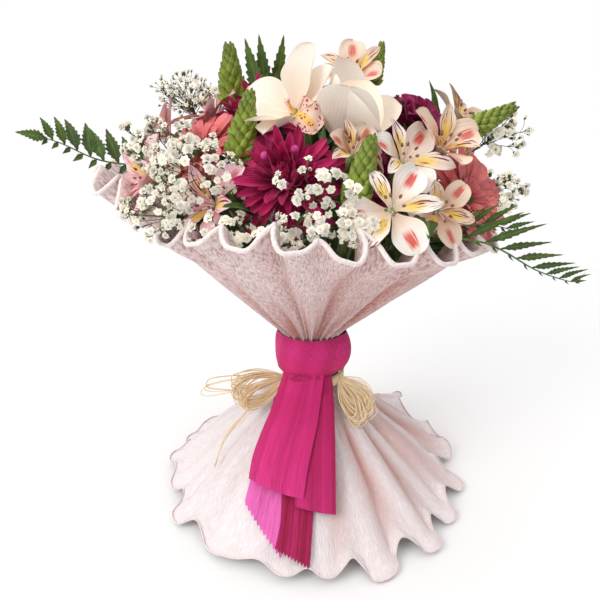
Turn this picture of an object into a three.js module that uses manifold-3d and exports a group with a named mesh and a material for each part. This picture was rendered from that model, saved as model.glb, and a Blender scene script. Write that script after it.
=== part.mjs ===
// A mixed flower bouquet that stands on its spiral-bound stems and on the hem of its crepe paper wrap.
//
// Millimetres, +Z up, -Y is the front. The origin is the cut end of the middle stem, on the table, which is
// also the middle of the bouquet's whole width and depth.
// One sheet of pink crepe paper makes both the collar round the flowers and the skirt below the tie.
// Each bloom, spray, frond and bow is one closed solid, and no two of them touch.
// Angles are in degrees and go round from +X (0) by the back (90) and the left (180) to the front (270).

import * as THREE from "three";
import Module from "manifold-3d";

const wasm = await Module();
wasm.setup();
const { Manifold, Mesh: SolidMesh } = wasm;

// Driving dimensions of the paper wrap.
const NECK = { lowZ: 108, highZ: 158, lowRadius: 24.5, highRadius: 28.5, thickness: 3.6 };
const COLLAR = { radius: 155, height: 275, leftFlare: 12, leftRise: 19, tuckDepth: 22, tuckDrop: 18 };
const TUCK = { angle: 225, width: 18 };
const SKIRT = { radius: 138, hemHeight: 7 };
const PAPER_EDGE = 1.5;
const FLUTES = { count: 28, start: 0.68, sharpness: 0.3, lobe: 0.45 };
const FLUTE_SIZE = { collarDepth: 6.5, collarHeight: 8, hemDepth: 6, hemHeight: 7.4 };
const FOLDS = { count: 11, collarDepth: 5, skirtDepth: 4 };
const RIBBON_LANE = { neckX: -8, hemX: -24, neckHalf: 30, hemHalf: 46, blend: 12, left: 0.06 };

// Driving dimensions of the ribbon, the raffia and the binding.
const BAND = { lowZ: 123.4, highZ: 157, centreX: -2, halfWidth: 32, halfDepth: 29.7, thickness: 1.2 };
const BAND_SHAPE = { columns: 24, taper: 2.4, bulge: 0.6, roundness: 0.9 };
const RIBBON = { thickness: 1.2, widestShare: 0.95, leanIn: 6 };
const GATHER = { at: [-5, -30, 120.7], halfSize: [17, 3.1, 2] };
const PINKING = { height: 3, cutThrough: 2 };
const RAFFIA = { ringLowZ: 109.5, ringHighZ: 118, inner: 26, outer: 28.6, bevel: 1.5, sides: 20 };
const STRAND = { radius: 1.1, sides: 3 };
const STRING = { lowZ: 112, highZ: 117, inner: 19.4, outer: 20.5, waist: 0.3, bevel: 0.8, sides: 16 };

// Driving dimensions of the stems.
const BINDING = { lowZ: 104, highZ: 156, radius: 18.6, groove: 1.6, stems: 12 };
const STEM = { radius: 2, thin: 1.3, sides: 4, thinSides: 3, seat: 0.4, bend: 13 };
const STEM_ROOTS = { radius: 12, reach: 130, height: 149 };
const FEET = { count: 11, radius: 46, twist: 50, sunk: 4, stem: 2.5, sides: 5 };

// The least gap between nodes, the sizes that a petal is tried in, and the finest detail of a fused node.
const GAP = 0.3;
const SIZES = [1, 0.86, 0.72, 0.58];
const SLIVER = 0.06;

// The run of numbers that scatters the florets, and where it starts for the first spray.
const SCATTER = { multiplier: 1664525, increment: 1013904223, span: 2 ** 32, seed: 27 };

const radians = (angle) => (angle * Math.PI) / 180;
const clamp01 = (value) => Math.min(1, Math.max(0, value));
const smooth = (value) => clamp01(value) ** 2 * (3 - 2 * clamp01(value));
const mix = (a, b, share) => a + (b - a) * share;
const vector = (x, y, z) => new THREE.Vector3(x, y, z);
const range = (count) => Array.from({ length: count }, (_, i) => i);

// The flat way that an angle points to.
const towards = (angle) => vector(Math.cos(radians(angle)), Math.sin(radians(angle)), 0);

// A repeatable run of numbers from 0 to 1, so that every build is the same.
function randomFrom(seed) {
  let state = seed >>> 0;
  return () => {
    state = (Math.imul(state, SCATTER.multiplier) + SCATTER.increment) >>> 0;
    return state / SCATTER.span;
  };
}

const paint = (color, roughness) => new THREE.MeshStandardMaterial({ color, roughness, metalness: 0 });
const PAINTS = {
  paper: paint(0xf3d9d6, 0.9),
  ribbon: paint(0xc9246f, 0.8),
  raffia: paint(0xe6c694, 0.8),
  string: paint(0xd9cdb4, 0.9),
  stem: paint(0x5f7f3a, 0.6),
  ivory: paint(0xf2e6da, 0.5),
  magenta: paint(0xa3155e, 0.6),
  crimson: paint(0x7d1040, 0.7),
  coral: paint(0xdd6468, 0.6),
  blush: paint(0xf4e7dc, 0.5),
  pink: paint(0xe9a0a8, 0.5),
  lime: paint(0x8fae3c, 0.5),
  white: paint(0xf1efe6, 0.8),
  fern: paint(0x35602f, 0.5),
};

// SOLIDS

// A closed solid from points and from triangles that face outwards.
function closedSolid(points, triangles) {
  const vertProperties = new Float32Array(points.flatMap((p) => [p.x, p.y, p.z]));
  const proper = triangles.filter(([a, b, c]) => a !== b && b !== c && c !== a);
  const triVerts = new Uint32Array(proper.flat());
  return new Manifold(new SolidMesh({ numProp: 3, vertProperties, triVerts }));
}

// A thin blade, such as a petal. `at(u, v)` is its middle surface from root (u = 0) to tip (u = 1), with
// v from -1 to 1 across. Both faces share the outline and are split into triangles alike. The root is a
// point, and so is the tip unless `bluntTip` is set.
function bladeSolid(at, rows, lanes, thickness, bluntTip = false) {
  const points = [];
  const step = 1e-3;
  const faces = rows.map((u, i) => {
    const atEnd = i === 0 || i === rows.length - 1;
    if (i === 0 || (atEnd && !bluntTip)) {
      const id = points.push(at(u, 0)) - 1;
      return { upper: Array(lanes + 1).fill(id), lower: Array(lanes + 1).fill(id) };
    }
    const upper = [];
    const lower = [];
    for (const j of range(lanes + 1)) {
      const v = (2 * j) / lanes - 1;
      const middle = at(u, v);
      if (atEnd || j === 0 || j === lanes) {
        const id = points.push(middle) - 1;
        upper.push(id);
        lower.push(id);
        continue;
      }
      const along = at(u + step, v).sub(at(u - step, v));
      const across = at(u, v + step).sub(at(u, v - step));
      const normal = along.cross(across).normalize().multiplyScalar(thickness / 2);
      upper.push(points.push(middle.clone().add(normal)) - 1);
      lower.push(points.push(middle.clone().sub(normal)) - 1);
    }
    return { upper, lower };
  });
  const triangles = [];
  for (const i of range(rows.length - 1)) {
    const [near, far] = [faces[i], faces[i + 1]];
    for (const j of range(lanes)) {
      const [a, b, c, d] = [near.upper[j], near.upper[j + 1], far.upper[j + 1], far.upper[j]];
      const [e, f, g, h] = [near.lower[j], near.lower[j + 1], far.lower[j + 1], far.lower[j]];
      triangles.push([a, c, b], [a, d, c], [e, f, g], [e, g, h]);
    }
  }
  return closedSolid(points, triangles);
}

// How closely a petal's edge waves along its length, and how far the waves lean across it.
const WAVES = { along: 9, across: 2 };

// A petal's middle surface. It starts at `root`, given as [out, up], and reaches out along +X. It leaves
// at `rise` degrees, turns down by `bend` degrees on its way, and its edges stand up by `cup` half widths.
function petalSurface({ length, width, rise, bend, outline, cup = 0, wave = 0, root = [0, 0] }) {
  const start = radians(rise);
  const turn = radians(bend || 0.1);
  return (u, v) => {
    const angle = start - turn * u;
    const x = root[0] + ((Math.sin(start) - Math.sin(angle)) / turn) * length;
    const z = root[1] + ((Math.cos(angle) - Math.cos(start)) / turn) * length;
    const half = (width / 2) * outline(clamp01(u));
    const lift = half * cup * v * v + wave * Math.sin(WAVES.along * u + WAVES.across * v) * v;
    return vector(x - Math.sin(angle) * lift, v * half, z + Math.cos(angle) * lift);
  };
}

// Petal outlines, from root to tip, as a share of the full half width.
const OUTLINES = {
  tepal: (u) => 0.16 + 0.84 * Math.sin(Math.PI * u ** 1.25) ** 0.8,
  broad: (u) => 0.06 + 0.94 * Math.sin(Math.PI * u ** 1.2) ** 0.72,
  strap: (u) => 0.4 + 0.6 * Math.sin(Math.PI * u ** 1.3) ** 0.7,
  ray: (u) => 0.25 + 0.75 * Math.sin(Math.PI * u ** 1.7) ** 0.6,
  leaf: (u) => 0.2 + 0.8 * Math.sin(Math.PI * u ** 0.85),
  fan: (u) => 0.2 + 0.8 * u,
};

// The triangles between two rings of point numbers, of which one may have twice as many as the other.
function ringBand(low, high) {
  const few = Math.min(low.length, high.length);
  return range(few).flatMap((k) => {
    const m = (k + 1) % few;
    if (low.length === high.length) return [[low[k], low[m], high[m]], [low[k], high[m], high[k]]];
    const many = low.length > high.length ? low : high;
    const [a, b, c] = [many[2 * k], many[2 * k + 1], many[(2 * k + 2) % many.length]];
    if (many === low) return [[a, b, high[k]], [b, high[m], high[k]], [b, c, high[m]]];
    return [[low[k], b, a], [low[k], low[m], b], [low[m], c, b]];
  });
}

// A rod through `path` with a radius at each point. An end of radius 0 is a point.
function rodSolid(path, radii, sides) {
  const points = [];
  let side = vector(0.31, 0.52, 0.79);
  const rings = path.map((p, i) => {
    if (radii[i] === 0) return Array(sides).fill(points.push(p) - 1);
    const along = path[Math.min(path.length - 1, i + 1)].clone().sub(path[Math.max(0, i - 1)]).normalize();
    side = side.clone().addScaledVector(along, -side.dot(along)).normalize();
    const other = along.clone().cross(side);
    return range(sides).map((k) => {
      const angle = (2 * Math.PI * k) / sides;
      const offset = side.clone().multiplyScalar(Math.cos(angle)).addScaledVector(other, Math.sin(angle));
      return points.push(p.clone().addScaledVector(offset, radii[i])) - 1;
    });
  });
  const triangles = rings.slice(1).flatMap((ring, i) => ringBand(rings[i], ring));
  const [first, last] = [rings[0], rings[rings.length - 1]];
  for (const k of range(sides - 2)) {
    triangles.push([first[0], first[k + 2], first[k + 1]], [last[0], last[k + 1], last[k + 2]]);
  }
  return closedSolid(points, triangles);
}

// A closed three.js geometry as a solid, with the points that share a place made one.
function solidFromGeometry(geometry) {
  const place = geometry.getAttribute("position");
  const known = new Map();
  const points = [];
  const ids = range(place.count).map((i) => {
    const p = vector().fromBufferAttribute(place, i);
    const key = p.toArray().map((c) => Math.round(c * 1e4)).join();
    if (!known.has(key)) known.set(key, points.push(p) - 1);
    return known.get(key);
  });
  const corners = geometry.index ? [...geometry.index.array] : range(place.count);
  const triangles = range(corners.length / 3).map((i) => [0, 1, 2].map((k) => ids[corners[3 * i + k]]));
  return closedSolid(points, triangles);
}

// A solid of revolution about +Z from [radius, z] pairs that go up from the axis and back to it, or
// round and back to where they began.
function turnedSolid(profile, sides) {
  const geometry = new THREE.LatheGeometry(profile.map(([r, z]) => new THREE.Vector2(r, z)), sides);
  geometry.rotateX(Math.PI / 2);
  return solidFromGeometry(geometry);
}

// A sheet of even thickness from rows of points. In a hoop each row closes on itself.
function sheetSolid(grid, thickness, hoop = false) {
  const rows = grid.length;
  const columns = grid[0].length;
  const besides = (j) => (hoop ? (j + columns) % columns : Math.min(columns - 1, Math.max(0, j)));
  const points = [];
  const top = grid.map(() => []);
  const under = grid.map(() => []);
  for (const i of range(rows)) {
    for (const j of range(columns)) {
      const along = grid[Math.min(rows - 1, i + 1)][j].clone().sub(grid[Math.max(0, i - 1)][j]);
      const across = grid[i][besides(j + 1)].clone().sub(grid[i][besides(j - 1)]);
      const normal = along.cross(across).normalize().multiplyScalar(thickness / 2);
      top[i].push(points.push(grid[i][j].clone().add(normal)) - 1);
      under[i].push(points.push(grid[i][j].clone().sub(normal)) - 1);
    }
  }
  const triangles = [];
  const quad = (a, b, c, d) => triangles.push([a, b, c], [a, c, d]);
  for (const j of range(hoop ? columns : columns - 1)) {
    const m = besides(j + 1);
    for (const i of range(rows - 1)) {
      const [a, b, c, d] = [under[i][j], under[i][m], under[i + 1][m], under[i + 1][j]];
      quad(top[i][j], top[i + 1][j], top[i + 1][m], top[i][m]);
      triangles.push([a, b, c], [a, c, d]);
    }
    quad(top[0][j], top[0][m], under[0][m], under[0][j]);
    quad(top[rows - 1][j], under[rows - 1][j], under[rows - 1][m], top[rows - 1][m]);
  }
  if (hoop) return closedSolid(points, triangles);
  for (const i of range(rows - 1)) {
    const e = columns - 1;
    quad(top[i][0], under[i][0], under[i + 1][0], top[i + 1][0]);
    quad(top[i][e], top[i + 1][e], under[i + 1][e], under[i][e]);
  }
  return closedSolid(points, triangles);
}

// NODES
// The cores of all blooms and sprays are set out first, and each then grows in turn, clear of all that
// stands by then. A petal, floret or strand that would touch a neighbour is made shorter, and it is left
// out if even the shortest would touch.

const bouquet = new THREE.Group();
const standing = new Map();

const boxesMeet = (a, b, margin) =>
  [0, 1, 2].every((k) => a.min[k] - margin < b.max[k] && b.min[k] - margin < a.max[k]);

// The nodes that a solid would stand too near to.
function neighboursOf(solid) {
  const box = solid.boundingBox();
  const tooNear = ([, other]) => boxesMeet(box, other.box, GAP) && solid.minGap(other.solid, GAP) < GAP;
  return [...standing].filter(tooNear).map(([name]) => name);
}

const isClear = (solid) => neighboursOf(solid).length === 0;

// Sets a solid out where it stands, and stops if there is no room for it.
function setOut(name, solid) {
  const neighbours = neighboursOf(solid);
  if (neighbours.length) throw new Error(`${name} touches ${neighbours}`);
  standing.set(name, { solid, box: solid.boundingBox() });
}

// Solids fused into one body. A scrap that doesn't reach the rest is left out.
function fused(solids) {
  const bodies = Manifold.union(solids).asOriginal().simplify(SLIVER).decompose();
  return bodies.reduce((best, body) => (body.volume() > best.volume() ? body : best));
}

function addNode(name, solid, material) {
  setOut(name, solid);
  const found = solid.getMesh();
  const geometry = new THREE.BufferGeometry();
  geometry.setAttribute("position", new THREE.BufferAttribute(new Float32Array(found.vertProperties), 3));
  geometry.setIndex(new THREE.BufferAttribute(new Uint32Array(found.triVerts), 1));
  geometry.computeVertexNormals();
  const mesh = new THREE.Mesh(geometry, material);
  mesh.name = name;
  bouquet.add(mesh);
}

// Adds a node that is fused from the core set out for it and from growths, each of which is a function
// of a size share.
function addGrown(name, material, growths) {
  const parts = [standing.get(name).solid];
  standing.delete(name);
  for (const grow of growths) {
    const size = SIZES.find((share) => isClear(grow(share)));
    if (size) parts.push(grow(size));
  }
  addNode(name, fused(parts), material);
}

// The way a bloom faces, from its azimuth and its elevation above the level.
function facing(azimuth, elevation) {
  return towards(azimuth).multiplyScalar(Math.cos(radians(elevation))).setZ(Math.sin(radians(elevation)));
}

// The matrix that carries a shape's own frame, with its face along +Z, to its place.
function placing(at, axis, roll = 0) {
  const turn = new THREE.Quaternion().setFromUnitVectors(vector(0, 0, 1), axis);
  turn.multiply(new THREE.Quaternion().setFromAxisAngle(vector(0, 0, 1), radians(roll)));
  return new THREE.Matrix4().compose(at, turn, vector(1, 1, 1));
}

const spun = (angle) => new THREE.Matrix4().makeRotationZ(radians(angle));
const moved = (solid, ...matrices) =>
  matrices.reduce((made, matrix) => made.transform(matrix.elements), solid);

// PAPER WRAP

// The sheet isn't gathered evenly: this is the real angle of the place `phi` round the sheet.
const paperAngle = (phi) => phi + 0.05 * Math.sin(3 * phi + 1) + 0.025 * Math.sin(7 * phi + 2.2);

// How far the angle `theta`, in radians, is from `angle` in degrees, the short way round.
function degreesFrom(theta, angle) {
  const turn = (theta * 180) / Math.PI - angle;
  return Math.abs(turn - 360 * Math.round(turn / 360));
}

// A flute has a narrow crest and a wide hollow, as fingers stretch it into the edge of the crepe.
function fluteWave(phi) {
  const { count, sharpness } = FLUTES;
  return (Math.cos(count * phi) + sharpness * Math.cos(2 * count * phi)) / (1 + sharpness);
}
// At the hem it is turned over: wide lobes rest on the table between narrow notches.
const lobeWave = (phi) => FLUTES.lobe - fluteWave(phi);
const fluteGrowth = (t) => smooth((t - FLUTES.start) / (1 - FLUTES.start));

const foldWave = (phi) =>
  Math.sin(FOLDS.count * phi + 1.2 * Math.sin(2 * phi)) + 0.4 * Math.sin(5 * phi + 0.8);

// A point of the collar's outside, from the band's top edge (t = 0) to the rim (t = 1).
function collarPoint(phi, t) {
  const theta = paperAngle(phi);
  const tuck = Math.exp(-((degreesFrom(theta, TUCK.angle) / TUCK.width) ** 2));
  const rimRadius = COLLAR.radius - COLLAR.leftFlare * Math.cos(theta) - COLLAR.tuckDepth * tuck;
  const rimHeight = COLLAR.height - COLLAR.leftRise * Math.cos(theta) - COLLAR.tuckDrop * tuck;
  const flute = fluteGrowth(t) * fluteWave(phi);
  const fold = FOLDS.collarDepth * foldWave(phi) * Math.sin(Math.PI * t) ** 0.8;
  const radius = mix(NECK.highRadius, rimRadius, t ** 1.04) + fold - FLUTE_SIZE.collarDepth * flute;
  const height = mix(NECK.highZ, rimHeight, t) + FLUTE_SIZE.collarHeight * flute;
  return vector(radius * Math.cos(theta), radius * Math.sin(theta), height);
}

// How much of its folds the skirt keeps: the ribbon presses them nearly flat in its lane at the front.
function foldsLeft(theta, t) {
  const { neckX, hemX, neckHalf, hemHalf, blend, left } = RIBBON_LANE;
  const radius = mix(NECK.lowRadius, SKIRT.radius, t);
  const beside = Math.abs(radius * Math.cos(theta) - mix(neckX, hemX, t)) - mix(neckHalf, hemHalf, t);
  const pressed = smooth((-radius * Math.sin(theta)) / blend) * (1 - smooth(beside / blend));
  return mix(1, left, pressed);
}

// A point of the skirt's outside, from the raffia (t = 0) to the hem (t = 1).
function skirtPoint(phi, t) {
  const theta = paperAngle(phi);
  const kept = foldsLeft(theta, t);
  const lobe = fluteGrowth(t) * lobeWave(phi) * mix(1, kept, 0.6);
  const fold = FOLDS.skirtDepth * kept * foldWave(phi + 0.9) * Math.sin(Math.PI * t * 0.8) ** 0.8;
  const radius = mix(NECK.lowRadius, SKIRT.radius, t) + fold + FLUTE_SIZE.hemDepth * lobe;
  const height = mix(NECK.lowZ, SKIRT.hemHeight, t) - FLUTE_SIZE.hemHeight * lobe;
  return vector(radius * Math.cos(theta), radius * Math.sin(theta), Math.max(0, height));
}

// The rings of the wrap from hem to rim: how far along, how many columns and how thick.
const WRAP_RINGS = [
  { point: skirtPoint, t: 1, columns: FLUTES.count * 3, thickness: PAPER_EDGE },
  { point: skirtPoint, t: 0.85, columns: FLUTES.count * 3, thickness: PAPER_EDGE },
  { point: skirtPoint, t: 0.5, columns: FLUTES.count * 1.5, thickness: 1.8 },
  { point: skirtPoint, t: 0.2, columns: FLUTES.count * 1.5, thickness: 2.4 },
  { point: skirtPoint, t: 0, columns: FLUTES.count * 1.5, thickness: NECK.thickness },
  { point: collarPoint, t: 0, columns: FLUTES.count * 1.5, thickness: NECK.thickness },
  { point: collarPoint, t: 0.35, columns: FLUTES.count * 1.5, thickness: 2 },
  { point: collarPoint, t: 0.68, columns: FLUTES.count * 3, thickness: 1.6 },
  { point: collarPoint, t: 0.86, columns: FLUTES.count * 3, thickness: PAPER_EDGE },
  { point: collarPoint, t: 1, columns: FLUTES.count * 3, thickness: PAPER_EDGE },
];

function paperWrap() {
  const outside = [];
  const depths = [];
  const rings = WRAP_RINGS.map(({ point, t, columns, thickness }) =>
    range(columns).map((k) => {
      depths.push(thickness);
      return outside.push(point((2 * Math.PI * k) / columns, t)) - 1;
    }),
  );
  const faces = rings.slice(1).flatMap((ring, i) => ringBand(rings[i], ring));
  const normals = outside.map(() => vector(0, 0, 0));
  for (const [a, b, c] of faces) {
    const normal = outside[b].clone().sub(outside[a]).cross(outside[c].clone().sub(outside[a]));
    [a, b, c].forEach((corner) => normals[corner].add(normal));
  }
  const inside = outside.map((p, i) => {
    const q = p.clone().addScaledVector(normals[i].normalize(), -depths[i]);
    return q.setZ(Math.max(0, q.z));
  });
  const behind = (ids) => ids.map((i) => i + outside.length);
  const [hem, rim] = [rings[0], rings[rings.length - 1]];
  const backs = faces.map(([a, b, c]) => behind([a, c, b]));
  const edges = [...ringBand(behind(hem), hem), ...ringBand(rim, behind(rim))];
  return closedSolid([...outside, ...inside], [...faces, ...backs, ...edges]);
}

// RIBBON

// The hoop of ribbon round the neck. It is a little wider than deep, with rounded folded sides.
function ribbonBand() {
  const { columns, taper, bulge, roundness } = BAND_SHAPE;
  const square = (value) => Math.sign(value) * Math.abs(value) ** roundness;
  const rows = [1, 0.5, 0].map((t) => {
    const grow = taper * (t - 1) + bulge * Math.sin(Math.PI * t);
    return range(columns).map((k) => {
      const way = towards((360 * k) / columns);
      const x = BAND.centreX + (BAND.halfWidth + grow) * square(way.x);
      return vector(x, (BAND.halfDepth + grow) * square(way.y), mix(BAND.lowZ, BAND.highZ, t));
    });
  });
  return sheetSolid(rows, BAND.thickness, true);
}

// A point `off` away from the skirt's mean surface, at sideways place x and height z. Above the skirt
// it is `off` in front of the neck.
function onSkirt(x, z, off) {
  const t = clamp01((NECK.lowZ - z) / (NECK.lowZ - SKIRT.hemHeight));
  const slope = Math.atan2(SKIRT.radius - NECK.lowRadius, NECK.lowZ - SKIRT.hemHeight);
  const lean = slope * smooth(t * RIBBON.leanIn);
  const radius = mix(NECK.lowRadius, SKIRT.radius, t) + off * Math.cos(lean);
  const across = Math.min(Math.abs(x), RIBBON.widestShare * radius);
  return vector(x, -Math.sqrt(radius ** 2 - across ** 2), z + off * Math.sin(lean));
}

// A strip of ribbon through stops of { x, z, off, width, slant } that drapes over the skirt.
function ribbonStrip(stops) {
  const grid = stops.map(({ x, z, off, width, slant = 0 }) =>
    [-1, 0, 1].map((v) => onSkirt(x + (v * width) / 2, z - slant * v, off)),
  );
  return sheetSolid(grid, RIBBON.thickness);
}

// The faces of a wedge with three corners behind and the same three in front.
const WEDGE = [[0, 2, 1], [3, 4, 5], [0, 1, 4], [0, 4, 3], [1, 2, 5], [1, 5, 4], [2, 0, 3], [2, 3, 5]];

// A strip whose last edge is cut in zigzags by pinking shears.
function pinkedStrip(stops, teeth) {
  const { x, z, off, width, slant } = stops[stops.length - 1];
  const place = (v, up, out) => onSkirt(x + (v * width) / 2, z - slant * v + up, off + out);
  const notches = range(teeth).map((k) => {
    const [left, middle, right] = [2 * k, 2 * k + 1, 2 * k + 2].map((step) => step / teeth - 1);
    const { height, cutThrough } = PINKING;
    const tooth = [[left, -height], [middle, height], [right, -height]];
    const corners = (out) => tooth.map(([v, up]) => place(v, up, out));
    return closedSolid([...corners(-cutThrough), ...corners(cutThrough)], WEDGE);
  });
  return ribbonStrip(stops).subtract(Manifold.union(notches));
}

// The layers from the paper outwards: left tail, middle tail, backs of the loops, fronts of the loops.
const LONG_LOOP = [
  { x: -8, z: 121.7, off: 5, width: 36 },
  { x: -11, z: 113, off: 12, width: 36 },
  { x: -20, z: 84, off: 15.5, width: 41 },
  { x: -29, z: 60, off: 14, width: 44, slant: 5 },
  { x: -32, z: 47, off: 11.5, width: 44, slant: 8 },
  { x: -32, z: 46, off: 8, width: 44, slant: 8 },
  { x: -29, z: 58, off: 7, width: 42, slant: 5 },
  { x: -18, z: 92, off: 7, width: 36 },
  { x: -9, z: 119.6, off: 5.7, width: 30 },
];
const SIDE_LOOP = [
  { x: 4, z: 122, off: 3.9, width: 22 },
  { x: 4, z: 110, off: 9, width: 24 },
  { x: 1, z: 74, off: 11.5, width: 29 },
  { x: -1, z: 44, off: 10, width: 31, slant: 4 },
  { x: -1, z: 36, off: 7.6, width: 31, slant: 4 },
  { x: -1, z: 42, off: 5.4, width: 30, slant: 4 },
  { x: 2, z: 90, off: 5.4, width: 24 },
  { x: 3, z: 119.2, off: 5.2, width: 20 },
];
const LEFT_TAIL = [
  { x: -12, z: 120.5, off: 5.2, width: 28 },
  { x: -26, z: 84, off: 2.2, width: 32 },
  { x: -38, z: 50, off: 2.6, width: 33, slant: 3 },
  { x: -45, z: 24, off: 4.4, width: 33, slant: 7 },
];
const MIDDLE_TAIL = [
  { x: -4, z: 120.2, off: 5.2, width: 24 },
  { x: -12, z: 70, off: 3.8, width: 27 },
  { x: -17, z: 34, off: 3.8, width: 29 },
  { x: -20, z: 14, off: 6, width: 29, slant: 2 },
];

const TAIL_TEETH = { left: 6, middle: 5 };

function ribbonBow() {
  const ball = solidFromGeometry(new THREE.SphereGeometry(1, 8, 5));
  const place = new THREE.Matrix4().makeTranslation(...GATHER.at).scale(vector(...GATHER.halfSize));
  const gather = moved(ball, place);
  const loops = [ribbonStrip(LONG_LOOP), ribbonStrip(SIDE_LOOP)];
  const tails = [pinkedStrip(LEFT_TAIL, TAIL_TEETH.left), pinkedStrip(MIDDLE_TAIL, TAIL_TEETH.middle)];
  return fused([gather, ...loops, ...tails]);
}

// RAFFIA

function strand(stops, steps) {
  const path = new THREE.CatmullRomCurve3(stops, false, "centripetal").getPoints(steps);
  return rodSolid(path, path.map(() => STRAND.radius), STRAND.sides);
}

// A loop's stops: how far along it lies, and its share of the swell to one side.
const LOOP_STOPS = [[0, 0], [0.55, 1], [1, 0.6], [1, -0.5], [0.55, -1], [0, -0.25]];
const RAFFIA_STEPS = { loop: 9, end: 6 };

// The ring's angles that the two sides of the bow leave from.
const RAFFIA_KNOTS = { left: 208, right: 324 };

// The bow's loops: the side that each leaves from, its far tip and its swell.
const RAFFIA_LOOPS = [
  ["left", [-68, -30, 104], 8],
  ["left", [-62, -34, 96], 5],
  ["left", [-98, -26, 118], 3],
  ["right", [47, -32, 96], 6],
  ["right", [45, -38, 90], 7],
  ["right", [38, -46, 87], 5],
];

// The bow's loose ends, and the places that each passes through.
const RAFFIA_ENDS = [
  ["left", [[-56, -26, 95], [-80, -40, 64], [-93, -47, 50]]],
  ["right", [[42, -30, 106], [58, -36, 93]]],
];

// A loop of raffia leaves the ring at `from`, swells out to `tip` and comes back beside itself.
function raffiaLoop(from, tip, swell) {
  const sideways = tip.clone().sub(from).cross(vector(0, -1, 0.4)).setLength(swell);
  const stops = LOOP_STOPS.map(([along, share]) => {
    return from.clone().lerp(tip, along).addScaledVector(sideways, share);
  });
  return strand(stops, RAFFIA_STEPS.loop);
}

function raffiaBow() {
  const { ringLowZ, ringHighZ, inner, outer, bevel, sides } = RAFFIA;
  const outside = [[outer, ringLowZ + bevel], [outer, ringHighZ - bevel]];
  const profile = [[inner, ringLowZ], ...outside, [inner, ringHighZ], [inner, ringLowZ]];
  const knot = (side) =>
    towards(RAFFIA_KNOTS[side]).multiplyScalar((inner + outer) / 2).setZ((ringLowZ + ringHighZ) / 2);
  const loops = RAFFIA_LOOPS.map(([side, tip, swell]) => raffiaLoop(knot(side), vector(...tip), swell));
  const ends = RAFFIA_ENDS.map(([side, stops]) =>
    strand([knot(side), ...stops.map((p) => vector(...p))], RAFFIA_STEPS.end),
  );
  return fused([turnedSolid(profile, sides), ...[...loops, ...ends].filter(isClear)]);
}

// BLOOMS
// Each kind gives a core and its growths in its own frame: petals leave the origin and +Z is the face.
// The core ends in a flat `stalk` below the origin, where a stem carries it.

const STALK = { cymbidium: 12, chrysanthemum: 12, carnation: 16, gerbera: 12, alstroemeria: 14 };

// A core's shape: how wide its foot is, where its belly is, and how wide and high its shoulder is.
const CORE = { foot: 0.5, belly: 0.3, shoulder: 0.7 };

// A bud-shaped core: a flat foot, a belly of the given radius, and a point on top.
function spindle({ radius, above, sides }, below) {
  const foot = [[0, -below], [radius * CORE.foot, -below]];
  const shoulder = [radius * CORE.shoulder, above * CORE.shoulder];
  return turnedSolid([...foot, [radius, -below * CORE.belly], shoulder, [0, above]], sides);
}

const ROWS = { few: [0, 0.45, 0.8, 1], some: [0, 0.3, 0.62, 0.88, 1], many: [0, 0.22, 0.46, 0.7, 0.9, 1] };
const LANES = 2;

// A petal at `angle` round the axis, as a function of its size share.
function petal(angle, shape, rows, thickness) {
  return (size) => {
    const surface = petalSurface({ ...shape, length: shape.length * size });
    return moved(bladeSolid(surface, rows, LANES, thickness), spun(angle));
  };
}

// `count` petals evenly round the axis, the first of them at `turn`.
function whorl({ count, turn, thickness, rows = ROWS.few }, shape) {
  return range(count).map((k) => petal(turn + (360 * k) / count, shape, rows, thickness));
}

// A white boat orchid: five broad tepals round a hanging lip and a short column.
const CYMBIDIUM = {
  core: { radius: 4.5, above: 7, sides: 6 },
  tepal: { cup: 0.3, wave: 1, outline: OUTLINES.broad, root: [3, 0] },
  tepals: { count: 5, turn: 90, thickness: 1.8, rows: ROWS.many },
  tepalWidth: 0.64,
  lip: { width: 20, rise: 42, bend: 110, cup: 0.7, outline: OUTLINES.broad },
  lipAngle: 270,
  lipLength: 0.62,
  lipThickness: 1.4,
  column: { middle: [0, 1, 9], top: [0, -3, 16], radii: [3, 2.6, 2.2], sides: 5 },
};

function cymbidium({ length = 42, rise = 18, bend = 25 }) {
  const { core, tepal, tepals, lip, column } = CYMBIDIUM;
  const lipShape = { ...lip, length: length * CYMBIDIUM.lipLength };
  const columnAt = (size) => {
    const ends = [column.middle, column.top].map((p) => vector(...p).multiplyScalar(size));
    return rodSolid([vector(0, 0, 0), ...ends], column.radii, column.sides);
  };
  return {
    core: spindle(core, STALK.cymbidium),
    growths: [
      ...whorl(tepals, { ...tepal, length, width: length * CYMBIDIUM.tepalWidth, rise, bend }),
      petal(CYMBIDIUM.lipAngle, lipShape, ROWS.some, CYMBIDIUM.lipThickness),
      columnAt,
    ],
  };
}

// A decorative chrysanthemum: layers of strap petals on a domed core, the inner ones upright.
const CHRYSANTHEMUM = {
  core: { radius: 8, above: 9, sides: 7 },
  strap: { cup: 0.5, outline: OUTLINES.strap },
  thickness: 1.5,
  layers: [
    { count: 9, turn: 0, share: 0.86, width: 12.5, rise: 6, bend: 30, root: [5.5, -2] },
    { count: 6, turn: 15, share: 0.78, width: 13.5, rise: 36, bend: 30, root: [5, 2] },
    { count: 4, turn: 5, share: 0.6, width: 10, rise: 64, bend: 26, root: [2.5, 5] },
  ],
};

function chrysanthemum({ length = 33 }) {
  const { core, strap, layers, thickness } = CHRYSANTHEMUM;
  const growths = layers.flatMap(({ count, turn, share, ...shape }) =>
    whorl({ count, turn, thickness }, { ...strap, ...shape, length: length * share }),
  );
  return { core: spindle(core, STALK.chrysanthemum), growths };
}

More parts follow.
